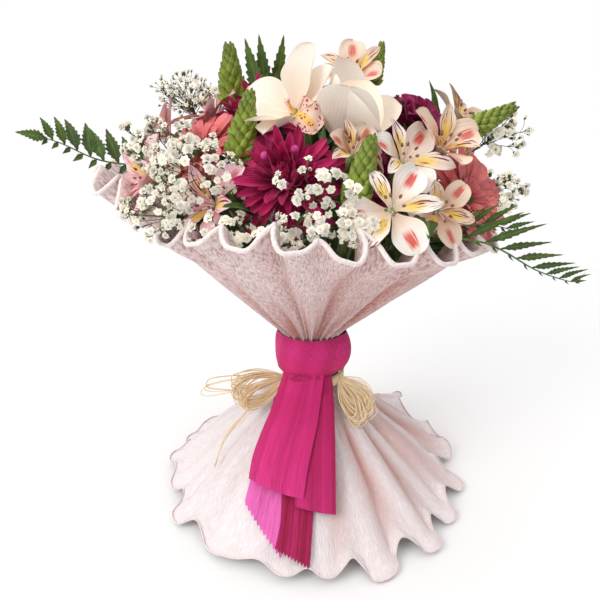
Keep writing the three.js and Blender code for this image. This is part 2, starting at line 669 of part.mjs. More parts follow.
// A carnation: crowded fans with a toothed edge.
const CARNATION = {
  core: { radius: 5.5, above: 7, sides: 7 },
  fan: { cup: -0.2, wave: 1.6, outline: OUTLINES.fan },
  rows: [0, 0.6, 1],
  lanes: 4,
  teeth: [1.2, -2.4],
  thickness: 1.5,
  layers: [
    { count: 6, turn: 0, share: 0.9, rise: 20, bend: 18, width: 23, root: [3.5, 0] },
    { count: 4, turn: 30, share: 0.8, rise: 54, bend: 18, width: 20, root: [3, 2] },
    { count: 2, turn: 10, share: 0.7, rise: 80, bend: 10, width: 15, root: [1.5, 4] },
  ],
};

function carnation({ length = 23 }) {
  const { core, fan, rows, lanes, teeth, thickness, layers } = CARNATION;
  const fanAt = (angle, share, shape) => (size) => {
    const surface = petalSurface({ ...fan, ...shape, length: length * share * size });
    const toothed = (u, v) => {
      const p = surface(u, v);
      const lane = Math.round(((v + 1) * lanes) / 2);
      return u < 1 ? p : p.setLength(p.length() + teeth[lane % 2]);
    };
    return moved(bladeSolid(toothed, rows, lanes, thickness, true), spun(angle));
  };
  const growths = layers.flatMap(({ count, turn, share, ...shape }) =>
    range(count).map((k) => fanAt(turn + (360 * k) / count, share, shape)),
  );
  return { core: spindle(core, STALK.carnation), growths };
}

// A coral gerbera: a full ring of rays, a shorter and steeper ring inside it, and a disc.
const GERBERA = {
  disc: [[2.4, -STALK.gerbera], [7.5, -1], [7, 4]],
  top: 5.5,
  sides: 9,
  ray: { bend: 20, cup: 0.3, outline: OUTLINES.ray },
  thickness: 1.4,
  layers: [
    { count: 12, turn: 0, share: 0.88, width: 10.5, steeper: 0, root: [5.5, 0] },
    { count: 6, turn: 15, share: 0.56, width: 11, steeper: 26, root: [5, 2.5] },
  ],
};

function gerbera({ length = 34, rise = 16 }) {
  const { disc, top, sides, ray, thickness, layers } = GERBERA;
  const growths = layers.flatMap(({ count, turn, share, steeper, ...shape }) =>
    whorl({ count, turn, thickness }, { ...ray, ...shape, length: length * share, rise: rise + steeper }),
  );
  return { core: turnedSolid([[0, -STALK.gerbera], ...disc, [0, top]], sides), growths };
}

// A Peruvian lily: three broad outer tepals and three narrow inner ones.
const ALSTROEMERIA = {
  core: { radius: 3.4, above: 5, sides: 5 },
  tepal: { cup: 0.25, outline: OUTLINES.tepal },
  count: 3,
  thickness: 1.4,
  layers: [
    { turn: 30, share: 1, width: 22, steeper: 0, bend: 34, root: [2, 0] },
    { turn: 90, share: 0.98, width: 13, steeper: 12, bend: 26, root: [1.5, 1.5] },
  ],
};

function alstroemeria({ length = 30, rise = 38 }) {
  const { core, tepal, count, thickness, layers } = ALSTROEMERIA;
  const growths = layers.flatMap(({ turn, share, steeper, ...shape }) =>
    whorl({ count, turn, thickness }, { ...tepal, ...shape, length: length * share, rise: rise + steeper }),
  );
  return { core: spindle(core, STALK.alstroemeria), growths };
}

const KINDS = { cymbidium, chrysanthemum, carnation, gerbera, alstroemeria };

// Each bloom: its name, kind and colour, where its petals meet, the azimuth and elevation that it
// faces, and what sets it apart from its kind.
const FRONT_LILY = { roll: 15, length: 32, rise: 26 };
const BLOOM_TABLE = [
  ["cymbidium_left", "cymbidium", "ivory", [-14, -56, 344], [245, 32], { roll: 8 }],
  ["cymbidium_right", "cymbidium", "ivory", [20, -54, 322], [330, 68], { length: 50, rise: 58, bend: -16 }],
  ["chrysanthemum_front", "chrysanthemum", "magenta", [-21, -98, 303], [262, 28], {}],
  ["chrysanthemum_rear", "chrysanthemum", "magenta", [-46, -20, 338], [215, 55], { length: 30 }],
  ["chrysanthemum_back", "chrysanthemum", "magenta", [26, 74, 326], [75, 42], { length: 32 }],
  ["carnation_right", "carnation", "crimson", [66, -38, 334], [300, 50], {}],
  ["carnation_low", "carnation", "crimson", [36, -66, 300], [285, 20], { length: 19 }],
  ["carnation_back", "carnation", "crimson", [-36, 88, 314], [112, 32], {}],
  ["gerbera_right", "gerbera", "coral", [102, -52, 288], [328, 14], {}],
  ["gerbera_left", "gerbera", "coral", [-84, -52, 314], [222, 42], {}],
  ["gerbera_back", "gerbera", "coral", [84, 62, 300], [38, 28], {}],
  ["alstroemeria_front", "alstroemeria", "blush", [43, -124, 289], [272, 30], FRONT_LILY],
  ["alstroemeria_middle", "alstroemeria", "blush", [54, -88, 314], [280, 42], {}],
  ["alstroemeria_upper_right", "alstroemeria", "blush", [86, -74, 318], [312, 52], {}],
  ["alstroemeria_lower_right", "alstroemeria", "blush", [80, -102, 284], [300, 14], { length: 29 }],
  ["alstroemeria_far_right", "alstroemeria", "blush", [108, -8, 336], [345, 50], {}],
  ["alstroemeria_top", "alstroemeria", "blush", [22, -8, 362], [205, 66], {}],
  ["alstroemeria_peach", "alstroemeria", "blush", [16, -96, 322], [280, 48], { length: 24, rise: 52 }],
  ["alstroemeria_pink_upper", "alstroemeria", "pink", [-78, -14, 338], [195, 58], {}],
  ["alstroemeria_pink_left", "alstroemeria", "pink", [-114, -14, 326], [185, 45], {}],
  ["alstroemeria_yellow_left", "alstroemeria", "pink", [-116, -66, 300], [212, 12], {}],
  ["alstroemeria_pink_lower", "alstroemeria", "pink", [-68, -98, 288], [240, 20], { length: 27 }],
  ["alstroemeria_back", "alstroemeria", "blush", [8, 118, 286], [92, 22], {}],
  ["alstroemeria_back_left", "alstroemeria", "blush", [-84, 56, 320], [145, 45], {}],
  ["alstroemeria_back_top", "alstroemeria", "pink", [-12, 34, 352], [95, 72], {}],
  ["alstroemeria_side_left", "alstroemeria", "pink", [-118, 34, 296], [165, 24], {}],
  ["alstroemeria_side_right", "alstroemeria", "pink", [120, 22, 296], [8, 26], {}],
];
const BLOOMS = BLOOM_TABLE.map(([name, kind, color, at, face, sizes]) => {
  return { name, kind, color, at: vector(...at), axis: facing(...face), sizes };
});

// BUD SPIKES

const SPIKE = { rows: 8, around: 6, foot: 4, crown: 1.05, hollow: 0.72, bud: 1.08, budAt: 0.4 };
const SPIKE_PROFILE = { least: 0.3, from: 0.2, to: 0.98, fullness: 0.9 };
const SPIKES = [
  { name: "ornithogalum_rear_left", base: [-63, -20, 346], tip: [-64, -20, 392], radius: 11 },
  { name: "ornithogalum_left", base: [-54, -84, 314], tip: [-45, -72, 360], radius: 10.5 },
  { name: "ornithogalum_front", base: [20, -122, 290], tip: [32, -108, 334], radius: 10.5 },
  { name: "ornithogalum_top", base: [44, 0, 364], tip: [51, 5, 395], radius: 7 },
  { name: "ornithogalum_right", base: [99, -42, 326], tip: [141, -50, 350], radius: 9 },
  { name: "ornithogalum_back", base: [52, 100, 292], tip: [60, 116, 334], radius: 10 },
];

// A spike of closed star-of-Bethlehem buds: a spindle covered in a lattice of raised buds.
function budSpike(base, tip, fullRadius) {
  const { rows, around, hollow, bud, budAt } = SPIKE;
  const { least, from, to, fullness } = SPIKE_PROFILE;
  const length = tip.distanceTo(base);
  const radiusAt = (s) => fullRadius * mix(least, 1, Math.sin(Math.PI * mix(from, to, s)) ** fullness);
  const points = [];
  const onSpike = (row, column, share) => {
    const s = row / rows;
    const out = towards((360 * column) / around).multiplyScalar(share * radiusAt(Math.min(1, s)));
    return points.push(out.setZ(length * s)) - 1;
  };
  const corners = range(rows + 1).map((j) => range(around).map((k) => onSpike(j, k + (j % 2) / 2, hollow)));
  const foot = points.push(vector(0, 0, -SPIKE.foot)) - 1;
  const crown = points.push(vector(0, 0, length * SPIKE.crown)) - 1;
  const triangles = [];
  const [low, high] = [corners[0], corners[rows]];
  for (const k of range(around)) {
    const m = (k + 1) % around;
    triangles.push([low[k], foot, low[m]], [high[k], high[m], crown]);
    triangles.push([low[k], low[m], corners[1][k]], [corners[rows - 1][k], high[m], high[k]]);
  }
  for (const j of range(rows).slice(1)) {
    for (const k of range(around)) {
      const m = (k + 1) % around;
      const middle = j % 2 ? m : k;
      const apex = onSpike(j + budAt, k + (1 + (j % 2)) / 2, bud);
      const rim = [corners[j][k], corners[j - 1][middle], corners[j][m], corners[j + 1][middle]];
      rim.forEach((corner, i) => triangles.push([corner, rim[(i + 1) % 4], apex]));
    }
  }
  return moved(closedSolid(points, triangles), placing(base, tip.clone().sub(base).normalize()));
}

// FERNS

// The points that each frond's rib passes through, the greatest reach of its leaflets, and their pairs.
const FRONDS = [
  ["fern_left", [[-122, -26, 317], [-160, -52, 328], [-203.02, -69.5, 335]], 24, 13],
  ["fern_right_long", [[64, -116, 278], [121, -104, 276], [168, -79, 251], [207.5, -61, 229.6]], 22, 15],
  ["fern_right_upper", [[96, -78, 290], [124, -80, 294], [148, -80, 288]], 16, 8],
  ["fern_top_left", [[-44, 22, 350], [-50, 26, 376], [-57, 26, 400]], 13, 9],
  ["fern_top_middle", [[-40, 36, 352], [-44, 36, 380], [-46, 32, 403]], 12, 9],
  ["fern_top_right", [[-34, 50, 350], [-30, 46, 378], [-26, 40, 399]], 13, 9],
  ["fern_back_left", [[-82, 92, 296], [-122, 122, 300], [-152, 148, 286]], 20, 11],
  ["fern_back_right", [[84, 96, 292], [122, 112, 296], [158, 122, 282]], 20, 11],
].map(([name, rib, reach, pairs]) => ({ name, rib, reach, pairs }));
const FROND = { bare: 0.08, end: 0.97, halfRib: 0.9, halfDepth: 0.7, rootScale: 1.3, steep: 0.75 };
const LEAFLET = { least: 2, from: 0.12, skew: 1.3, fullness: 0.7, sweep: 0.42, droop: 0.16 };
const LEAFLET_BULGE = { at: 0.4, height: 0.5 };

const ribCurve = (rib) => new THREE.CatmullRomCurve3(rib.map((p) => vector(...p)), false, "centripetal");

// A leatherleaf frond: one arched blade, with its leaflets cut to the rib on both sides.
function frondSolid({ rib, reach, pairs }) {
  const curve = ribCurve(rib);
  const points = [];
  const add = (p) => points.push(p) - 1;
  const stations = range(pairs + 1).map((i) => {
    const u = mix(FROND.bare, FROND.end, i / pairs);
    const along = curve.getTangentAt(u);
    const level = Math.abs(along.z) > FROND.steep ? vector(0, -1, 0.3) : vector(0, 0, 1);
    const side = along.clone().cross(level).normalize();
    return { u, place: curve.getPointAt(u), along, side, normal: side.clone().cross(along) };
  });
  const ribEdges = stations.map(({ u, place, side, normal }) => {
    const thin = FROND.rootScale - u;
    const out = side.clone().multiplyScalar(FROND.halfRib * thin);
    const up = normal.clone().multiplyScalar(FROND.halfDepth * thin);
    const corner = (v, w) => add(place.clone().addScaledVector(out, v).addScaledVector(up, w));
    return { right: [corner(1, 1), corner(1, -1)], left: [corner(-1, 1), corner(-1, -1)] };
  });
  const triangles = [];
  // A triangle on top and its mirror below, where each corner is a [top, bottom] pair.
  const both = (a, b, c) => triangles.push([a[0], b[0], c[0]], [a[1], c[1], b[1]]);
  for (const i of range(pairs)) {
    const { u, along, side, normal } = stations[i];
    const [near, far] = [ribEdges[i], ribEdges[i + 1]];
    const { least, from, skew, fullness } = LEAFLET;
    const leafletReach = least + reach * Math.sin(Math.PI * mix(from, 1, u) ** skew) ** fullness;
    const root = stations[i].place.clone().lerp(stations[i + 1].place, 0.5);
    both(near.left, near.right, far.right);
    both(near.left, far.right, far.left);
    for (const hand of ["right", "left"]) {
      const out = side.clone().multiplyScalar(hand === "right" ? leafletReach : -leafletReach);
      const swept = root.clone().add(out).addScaledVector(along, LEAFLET.sweep * leafletReach);
      const tip = add(swept.addScaledVector(normal, -LEAFLET.droop * leafletReach));
      const middle = root.clone().lerp(points[tip], LEAFLET_BULGE.at);
      const bulge = [1, -1].map((w) => add(middle.clone().addScaledVector(normal, w * LEAFLET_BULGE.height)));
      const loop = [near[hand], [tip, tip], far[hand]];
      if (hand === "left") loop.reverse();
      loop.forEach((corner, k) => both(corner, loop[(k + 1) % 3], bulge));
      const [start, end] = hand === "right" ? [near.right, far.right] : [far.left, near.left];
      triangles.push([tip, start[0], start[1]], [end[0], tip, end[1]]);
    }
  }
  const end = add(curve.getPointAt(1));
  const [first, last] = [ribEdges[0], ribEdges[pairs]];
  triangles.push([first.right[0], first.left[0], first.left[1]]);
  triangles.push([first.right[0], first.left[1], first.right[1]]);
  triangles.push([last.right[0], end, last.left[0]], [last.left[1], end, last.right[1]]);
  triangles.push([end, last.right[0], last.right[1]], [end, last.left[1], last.left[0]]);
  return closedSolid(points, triangles);
}

// LEAVES

// Each leaf: its name, its root, what its upper side faces, the way it leans, its length and its width.
const LEAVES = [
  ["leaf_right", [88, -18, 326], [320, 20], [0.15, 0.05, 1], 42, 20],
  ["leaf_front", [68, -112, 282], [290, 60], [-0.1, -1, 0.1], 34, 16],
  ["leaf_left", [-40, -112, 284], [250, 50], [-0.5, -0.8, 0.6], 32, 16],
  ["leaf_back", [-8, 96, 300], [95, 40], [-0.2, 0.8, 0.9], 44, 20],
].map(([name, base, face, lean, length, width]) => ({ name, base, face, lean, length, width }));

const LEAF = { rise: 10, bend: 30, cup: 0.2, outline: OUTLINES.leaf };
const LEAF_THICKNESS = 1.4;

// A plain pointed leaf that grows from `base` along `lean`, with its upper side turned to `face`.
function leafSolid({ base, face, lean, length, width }) {
  const along = vector(...lean).normalize();
  const up = facing(...face);
  const normal = up.addScaledVector(along, -up.dot(along)).normalize();
  const frame = new THREE.Matrix4().makeBasis(along, normal.clone().cross(along), normal);
  frame.setPosition(...base);
  const surface = petalSurface({ ...LEAF, length, width });
  return moved(bladeSolid(surface, ROWS.many, LANES, LEAF_THICKNESS), frame);
}

// GYPSOPHILA

// Where each spray branches, the middle of its cloud of florets, how far that spreads, and how many.
const SPRAYS = [
  ["gypsophila_upper_left", [-92, 0, 334], [-102, -4, 358], [26, 22, 15], 12],
  ["gypsophila_left", [-94, -54, 304], [-112, -64, 322], [30, 20, 20], 14],
  ["gypsophila_mid_left", [-70, -82, 296], [-88, -98, 312], [26, 18, 20], 14],
  ["gypsophila_low_left", [-82, -82, 276], [-108, -106, 282], [26, 18, 16], 12],
  ["gypsophila_middle", [-2, -106, 290], [-4, -132, 306], [28, 10, 20], 12],
  ["gypsophila_front", [12, -108, 274], [14, -136, 280], [30, 10, 10], 12],
  ["gypsophila_upper_right", [118, -30, 316], [136, -36, 330], [20, 20, 16], 12],
  ["gypsophila_lower_right", [112, -40, 276], [138, -48, 288], [16, 24, 16], 12],
  ["gypsophila_back", [-40, 112, 284], [-48, 130, 300], [34, 18, 18], 12],
].map(([name, base, centre, spread, florets]) => ({ name, base, centre, spread, florets }));
const FLORET = { radius: 3.5, height: 4.2, widest: 0.35, twig: 0.55, sides: 3 };
const SPRAY_TWIG = { radii: [1, 1, 0.8], sides: 3, leastReach: 0.5, rootFrom: 0.35, rootTo: 0.95 };

// A floret on its twig, from the point `from` to the point `tip`.
function floretSolid(from, tip) {
  const along = tip.clone().sub(from).normalize();
  const below = tip.clone().addScaledVector(along, -FLORET.height);
  const widest = tip.clone().addScaledVector(along, -FLORET.height * FLORET.widest);
  return rodSolid([from, below, widest, tip], [0, FLORET.twig, FLORET.radius, 0], FLORET.sides);
}

// A spray: one branching twig, and florets on twigs of their own spread evenly through a cloud.
function gypsophila({ base, centre, spread, florets }, seed) {
  const random = randomFrom(seed);
  const [foot, middle] = [vector(...base), vector(...centre)];
  const goldenTurn = Math.PI * (3 - Math.sqrt(5));
  const growths = range(florets).map((k) => {
    const height = 1 - (2 * k + 1) / florets;
    const flat = Math.sqrt(1 - height ** 2);
    const way = vector(flat * Math.cos(goldenTurn * k), flat * Math.sin(goldenTurn * k), height);
    const offset = way.multiply(vector(...spread)).multiplyScalar(mix(SPRAY_TWIG.leastReach, 1, random()));
    const root = foot.clone().lerp(middle, mix(SPRAY_TWIG.rootFrom, SPRAY_TWIG.rootTo, random()));
    return (size) => floretSolid(root, middle.clone().addScaledVector(offset, size));
  });
  const path = [foot, foot.clone().lerp(middle, 0.5), middle];
  return { core: rodSolid(path, SPRAY_TWIG.radii, SPRAY_TWIG.sides), growths };
}

// STEMS

// A stem from the binding to `end`, which it reaches along `axis`, and stops just short of.
function upperStem({ end, axis, radius }) {
  const root = vector(end.x, end.y, 0).multiplyScalar(STEM_ROOTS.radius / STEM_ROOTS.reach);
  root.setZ(STEM_ROOTS.height);
  const top = end.clone().addScaledVector(axis, -STEM.seat);
  const bend = end.clone().addScaledVector(axis, -STEM.bend);
  const sides = radius > STEM.thin ? STEM.sides : STEM.thinSides;
  return rodSolid([root, bend, top], [radius, radius, radius], sides);
}

// The places where stems end, each with the way that it points there.
function stemEnds() {
  const way = (from, to) => vector(...to).sub(vector(...from)).normalize();
  const blooms = BLOOMS.map(({ at, axis, kind }) => {
    const end = at.clone().addScaledVector(axis, -STALK[kind]);
    return { end, axis, radius: STEM.radius };
  });
  const spikes = SPIKES.map(({ base, tip }) => {
    const axis = way(base, tip);
    return { end: vector(...base).addScaledVector(axis, -SPIKE.foot), axis, radius: STEM.radius };
  });
  const fronds = FRONDS.map(({ rib }) => {
    const curve = ribCurve(rib);
    return { end: curve.getPointAt(FROND.bare), axis: curve.getTangentAt(FROND.bare), radius: STEM.thin };
  });
  const leaves = LEAVES.map(({ base, lean }) => {
    return { end: vector(...base), axis: vector(...lean).normalize(), radius: STEM.thin };
  });
  const sprays = SPRAYS.map(({ base, centre }) => {
    return { end: vector(...base), axis: way(base, centre), radius: STEM.thin };
  });
  return [...blooms, ...spikes, ...fronds, ...leaves, ...sprays];
}

// The packed stems at the tie: one column, grooved between stem and stem.
function boundCore() {
  const outline = range(BINDING.stems * 2).map((k) => {
    const p = towards((180 * k) / BINDING.stems).multiplyScalar(BINDING.radius - (k % 2) * BINDING.groove);
    return new THREE.Vector2(p.x, p.y);
  });
  const depth = BINDING.highZ - BINDING.lowZ;
  const geometry = new THREE.ExtrudeGeometry(new THREE.Shape(outline), { depth, bevelEnabled: false });
  return solidFromGeometry(geometry.translate(0, 0, BINDING.lowZ));
}

// The stems below the tie splay out in a spiral, and their ends are cut level with the table.
function lowerStems() {
  const top = BINDING.lowZ + FEET.sunk;
  const ends = range(FEET.count).map((k) => {
    const angle = (360 * k) / FEET.count;
    const from = towards(angle).multiplyScalar(BINDING.radius - FEET.sunk).setZ(top);
    return { from, to: towards(angle + FEET.twist).multiplyScalar(FEET.radius) };
  });
  return [...ends, { from: vector(0, 0, top), to: vector(0, 0, 0) }].map(({ from, to }) => {
    const past = to.clone().addScaledVector(to.clone().sub(from).normalize(), FEET.sunk);
    return rodSolid([from, past], [FEET.stem, FEET.stem], FEET.sides).trimByPlane([0, 0, 1], 0);
  });
}

function stemBundle() {
  return fused([boundCore(), ...lowerStems(), ...stemEnds().map(upperStem)]);
}

function bindingString() {
  const { lowZ, highZ, inner, outer, waist, bevel, sides } = STRING;
  const outside = [[outer, lowZ + bevel], [outer - waist, (lowZ + highZ) / 2], [outer, highZ - bevel]];
  return turnedSolid([[inner, lowZ], ...outside, [inner, highZ], [inner, lowZ]], sides);
}

// BUILD

addNode("paper_wrap", paperWrap(), PAINTS.paper);
addNode("ribbon_band", ribbonBand(), PAINTS.ribbon);
addNode("binding_string", bindingString(), PAINTS.string);
addNode("stem_bundle", stemBundle(), PAINTS.stem);
addNode("ribbon_bow", ribbonBow(), PAINTS.ribbon);
addNode("raffia_bow", raffiaBow(), PAINTS.raffia);
for (const frond of FRONDS) addNode(frond.name, frondSolid(frond), PAINTS.fern);
for (const { name, base, tip, radius } of SPIKES) {
  addNode(name, budSpike(vector(...base), vector(...tip), radius), PAINTS.lime);
}
for (const leaf of LEAVES) addNode(leaf.name, leafSolid(leaf), PAINTS.fern);
const grown = [
  ...BLOOMS.map(({ name, kind, color, at, axis, sizes }) => {
    const { core, growths } = KINDS[kind](sizes);
    const place = placing(at, axis, sizes.roll);
    const placed = growths.map((grow) => (size) => moved(grow(size), place));
    return { name, color, core: moved(core, place), growths: placed };
  }),
  ...SPRAYS.map((spray, i) => ({ name: spray.name, color: "white", ...gypsophila(spray, SCATTER.seed + i) })),
];
for (const { name, core } of grown) setOut(name, core);
for (const { name, color, growths } of grown) addGrown(name, PAINTS[color], growths);

export default bouquet;
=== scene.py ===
"""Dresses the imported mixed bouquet: crepe wrap, ribbon, raffia, stems, blooms, foliage, stage and light.

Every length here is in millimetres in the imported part's frame, and a mesh is written in metres. The front
is -Y, angles are in degrees and azimuths go round from +X by the back.
"""

import logging
import math
from collections.abc import Sequence
from dataclasses import dataclass, field, replace
from enum import Enum
from functools import reduce
from typing import Self

import bmesh
import bpy
import numpy as np
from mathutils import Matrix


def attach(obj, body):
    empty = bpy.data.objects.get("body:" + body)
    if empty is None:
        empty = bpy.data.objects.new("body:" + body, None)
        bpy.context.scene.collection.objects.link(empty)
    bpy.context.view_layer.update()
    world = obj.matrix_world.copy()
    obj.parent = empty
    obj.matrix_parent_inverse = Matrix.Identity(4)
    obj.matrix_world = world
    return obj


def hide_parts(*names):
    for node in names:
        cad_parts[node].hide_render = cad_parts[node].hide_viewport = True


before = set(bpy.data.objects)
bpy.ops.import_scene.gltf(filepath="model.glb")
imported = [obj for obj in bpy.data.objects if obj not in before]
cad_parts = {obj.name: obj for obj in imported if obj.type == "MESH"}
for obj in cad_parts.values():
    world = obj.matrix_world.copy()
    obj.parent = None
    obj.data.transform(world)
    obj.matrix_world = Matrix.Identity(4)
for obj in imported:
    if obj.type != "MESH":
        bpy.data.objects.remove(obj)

Array = np.ndarray
Colour = tuple[float, float, float]
Place = tuple[float, float, float]
Span = tuple[float, float]
Waves = tuple[tuple[float, float, float], ...]
Node = bpy.types.Node
Piece = bpy.types.Object
Socket = bpy.types.NodeSocket
Tree = bpy.types.NodeTree

LOG = logging.getLogger("bouquet")
MM = 0.001
GOLDEN_TURN = math.pi * (3 - math.sqrt(5))
TURN = 2 * math.pi
UP = np.array([0.0, 0.0, 1.0])


def smoothstep(value: Array) -> Array:
    """Returns 3x^2 - 2x^3 of the value held between 0 and 1."""
    held = np.clip(value, 0, 1)
    return held * held * (3 - 2 * held)


def bell(value: Array, width: Array | float) -> Array:
    """Returns a smooth bump of height 1, exp(-(value / width)^2)."""
    return np.exp(-((value / width) ** 2))


def apart(angle: Array, middle: Array | float, full: float = TURN) -> Array:
    """Returns how far an angle lies from another, within half a turn to either side."""
    return (angle - middle + full / 2) % full - full / 2


def waves(angle: Array, parts: Waves, start: Array | float) -> Array:
    """Returns `start` plus a sin(k angle + p) for each part (a, k, p)."""
    return sum((height * np.sin(turns * angle + phase) for height, turns, phase in parts), start)


def polar(radius: Array | float, angle: Array, height: Array | float) -> Array:
    """Returns the points at a distance from +Z, an angle round it in radians and a height."""
    return np.stack(np.broadcast_arrays(radius * np.cos(angle), radius * np.sin(angle), height), -1)


def seed_radii(count: int, radius: float) -> Array:
    """Returns how far out each seed of a sunflower's disc lies, radius sqrt((k + 0.5) / count)."""
    return radius * np.sqrt((np.arange(count) + 0.5) / count)


def own_rng(name: str) -> np.random.Generator:
    """Returns the run of random numbers that belongs to a name."""
    return np.random.default_rng(sum(name.encode()))


def unit(vectors: Array) -> Array:
    """Returns the vectors at length 1."""
    return vectors / np.maximum(np.linalg.norm(vectors, axis=-1, keepdims=True), 1e-9)


def towards(azimuth: Array | float, elevation: Array | float = 0.0) -> Array:
    """Returns the unit vectors that point at an azimuth and an elevation, in degrees."""
    a, e = np.radians(azimuth), np.radians(elevation)
    return np.stack(np.broadcast_arrays(np.cos(a) * np.cos(e), np.sin(a) * np.cos(e), np.sin(e)), -1)


def turn_about_z(degrees: float) -> Array:
    """Returns the matrix that turns by an angle about +Z."""
    c, s = math.cos(math.radians(degrees)), math.sin(math.radians(degrees))
    return np.array([[c, -s, 0.0], [s, c, 0.0], [0.0, 0.0, 1.0]])


def turns_to(axes: Array) -> Array:
    """Gives the smallest turns that carry +Z to each axis.

    With w = z x axis and c = z . axis, the turn is I + [w] + [w]^2 / (1 + c).

    Args:
        axes: unit vectors, of shape (..., 3).

    Returns:
        Matrices of shape (..., 3, 3).
    """
    x, y, c = axes[..., 0], axes[..., 1], axes[..., 2]
    k = 1 / np.maximum(1 + c, 1e-6)
    rows = [[1 - x * x * k, -x * y * k, x], [-x * y * k, 1 - y * y * k, y], [-x, -y, c]]
    return np.stack([np.stack(row, -1) for row in rows], -2)


def spline(stops: Array, count: int) -> Array:
    """Carries a smooth curve through stops of any dimension.

    Each span is a cubic Hermite curve. Knots lie as far apart as the square root of the chord, and a
    stop's tangent is the difference of its neighbours over the difference of their knots.

    Args:
        stops: points of shape (..., stops, dimension).
        count: how many points to return along the curve.

    Returns:
        Points of shape (..., count, dimension), evenly spread over the knots.
    """
    stops = np.asarray(stops, float)
    chords = np.sqrt(np.linalg.norm(np.diff(stops, axis=-2), axis=-1))
    chords = chords.mean(axis=tuple(range(stops.ndim - 2)))
    knots = np.concatenate([[0.0], np.cumsum(np.maximum(chords, 1e-6))])
    ahead = np.minimum(np.arange(len(knots)) + 1, len(knots) - 1)
    behind = np.maximum(np.arange(len(knots)) - 1, 0)
    slopes = (stops[..., ahead, :] - stops[..., behind, :]) / (knots[ahead] - knots[behind])[:, None]
    at = np.linspace(0, knots[-1], count)
    span = np.clip(np.searchsorted(knots, at, "right") - 1, 0, len(knots) - 2)
    step = (knots[span + 1] - knots[span])[:, None]
    t = ((at - knots[span]) / step[:, 0])[:, None]
    near, far = stops[..., span, :], stops[..., span + 1, :]
    return (
        (1 + 2 * t) * (1 - t) ** 2 * near
        + t * (1 - t) ** 2 * step * slopes[..., span, :]
        + t * t * (3 - 2 * t) * far
        + t * t * (t - 1) * step * slopes[..., span + 1, :]
    )


def tubes(paths: Array, radii: Array, sides: int, flat: float = 1.0) -> Array:
    """Carries a round or flattened ring along paths.

    The ring's first axis is square to the path and to the path's flattest direction, which is the last
    singular vector of its points, so that no ring flips on a loop. A radius of 0 closes an end.

    Args:
        paths: centre lines of shape (tubes, points, 3).
        radii: radius at each point, of a shape that broadcasts to (tubes, points).
        sides: points round each ring.
        flat: the second axis as a share of the first.

    Returns:
        Rings of shape (tubes, points, sides, 3).
    """
    centred = paths - paths.mean(axis=1, keepdims=True)
    flattest = np.linalg.svd(centred, full_matrices=False)[2][:, -1, :][:, None, :]
    along = unit(np.gradient(paths, axis=1))
    first = unit(np.cross(along, np.broadcast_to(flattest, along.shape)))
    second = np.cross(along, first)
    angle = np.arange(sides) * TURN / sides
    radii = np.broadcast_to(radii, paths.shape[:2])[:, :, None, None]
    cosine, sine = np.cos(angle)[:, None], (flat * np.sin(angle))[:, None]
    return paths[:, :, None] + radii * (first[:, :, None] * cosine + second[:, :, None] * sine)


def ends_closed(count: int, radius: float, tip: float = 1.0) -> Array:
    """Returns a tube's radii: `radius` falling to tip * radius along it, and 0 at both ends."""
    radii = radius * np.linspace(1, tip, count)
    radii[[0, -1]] = 0
    return radii


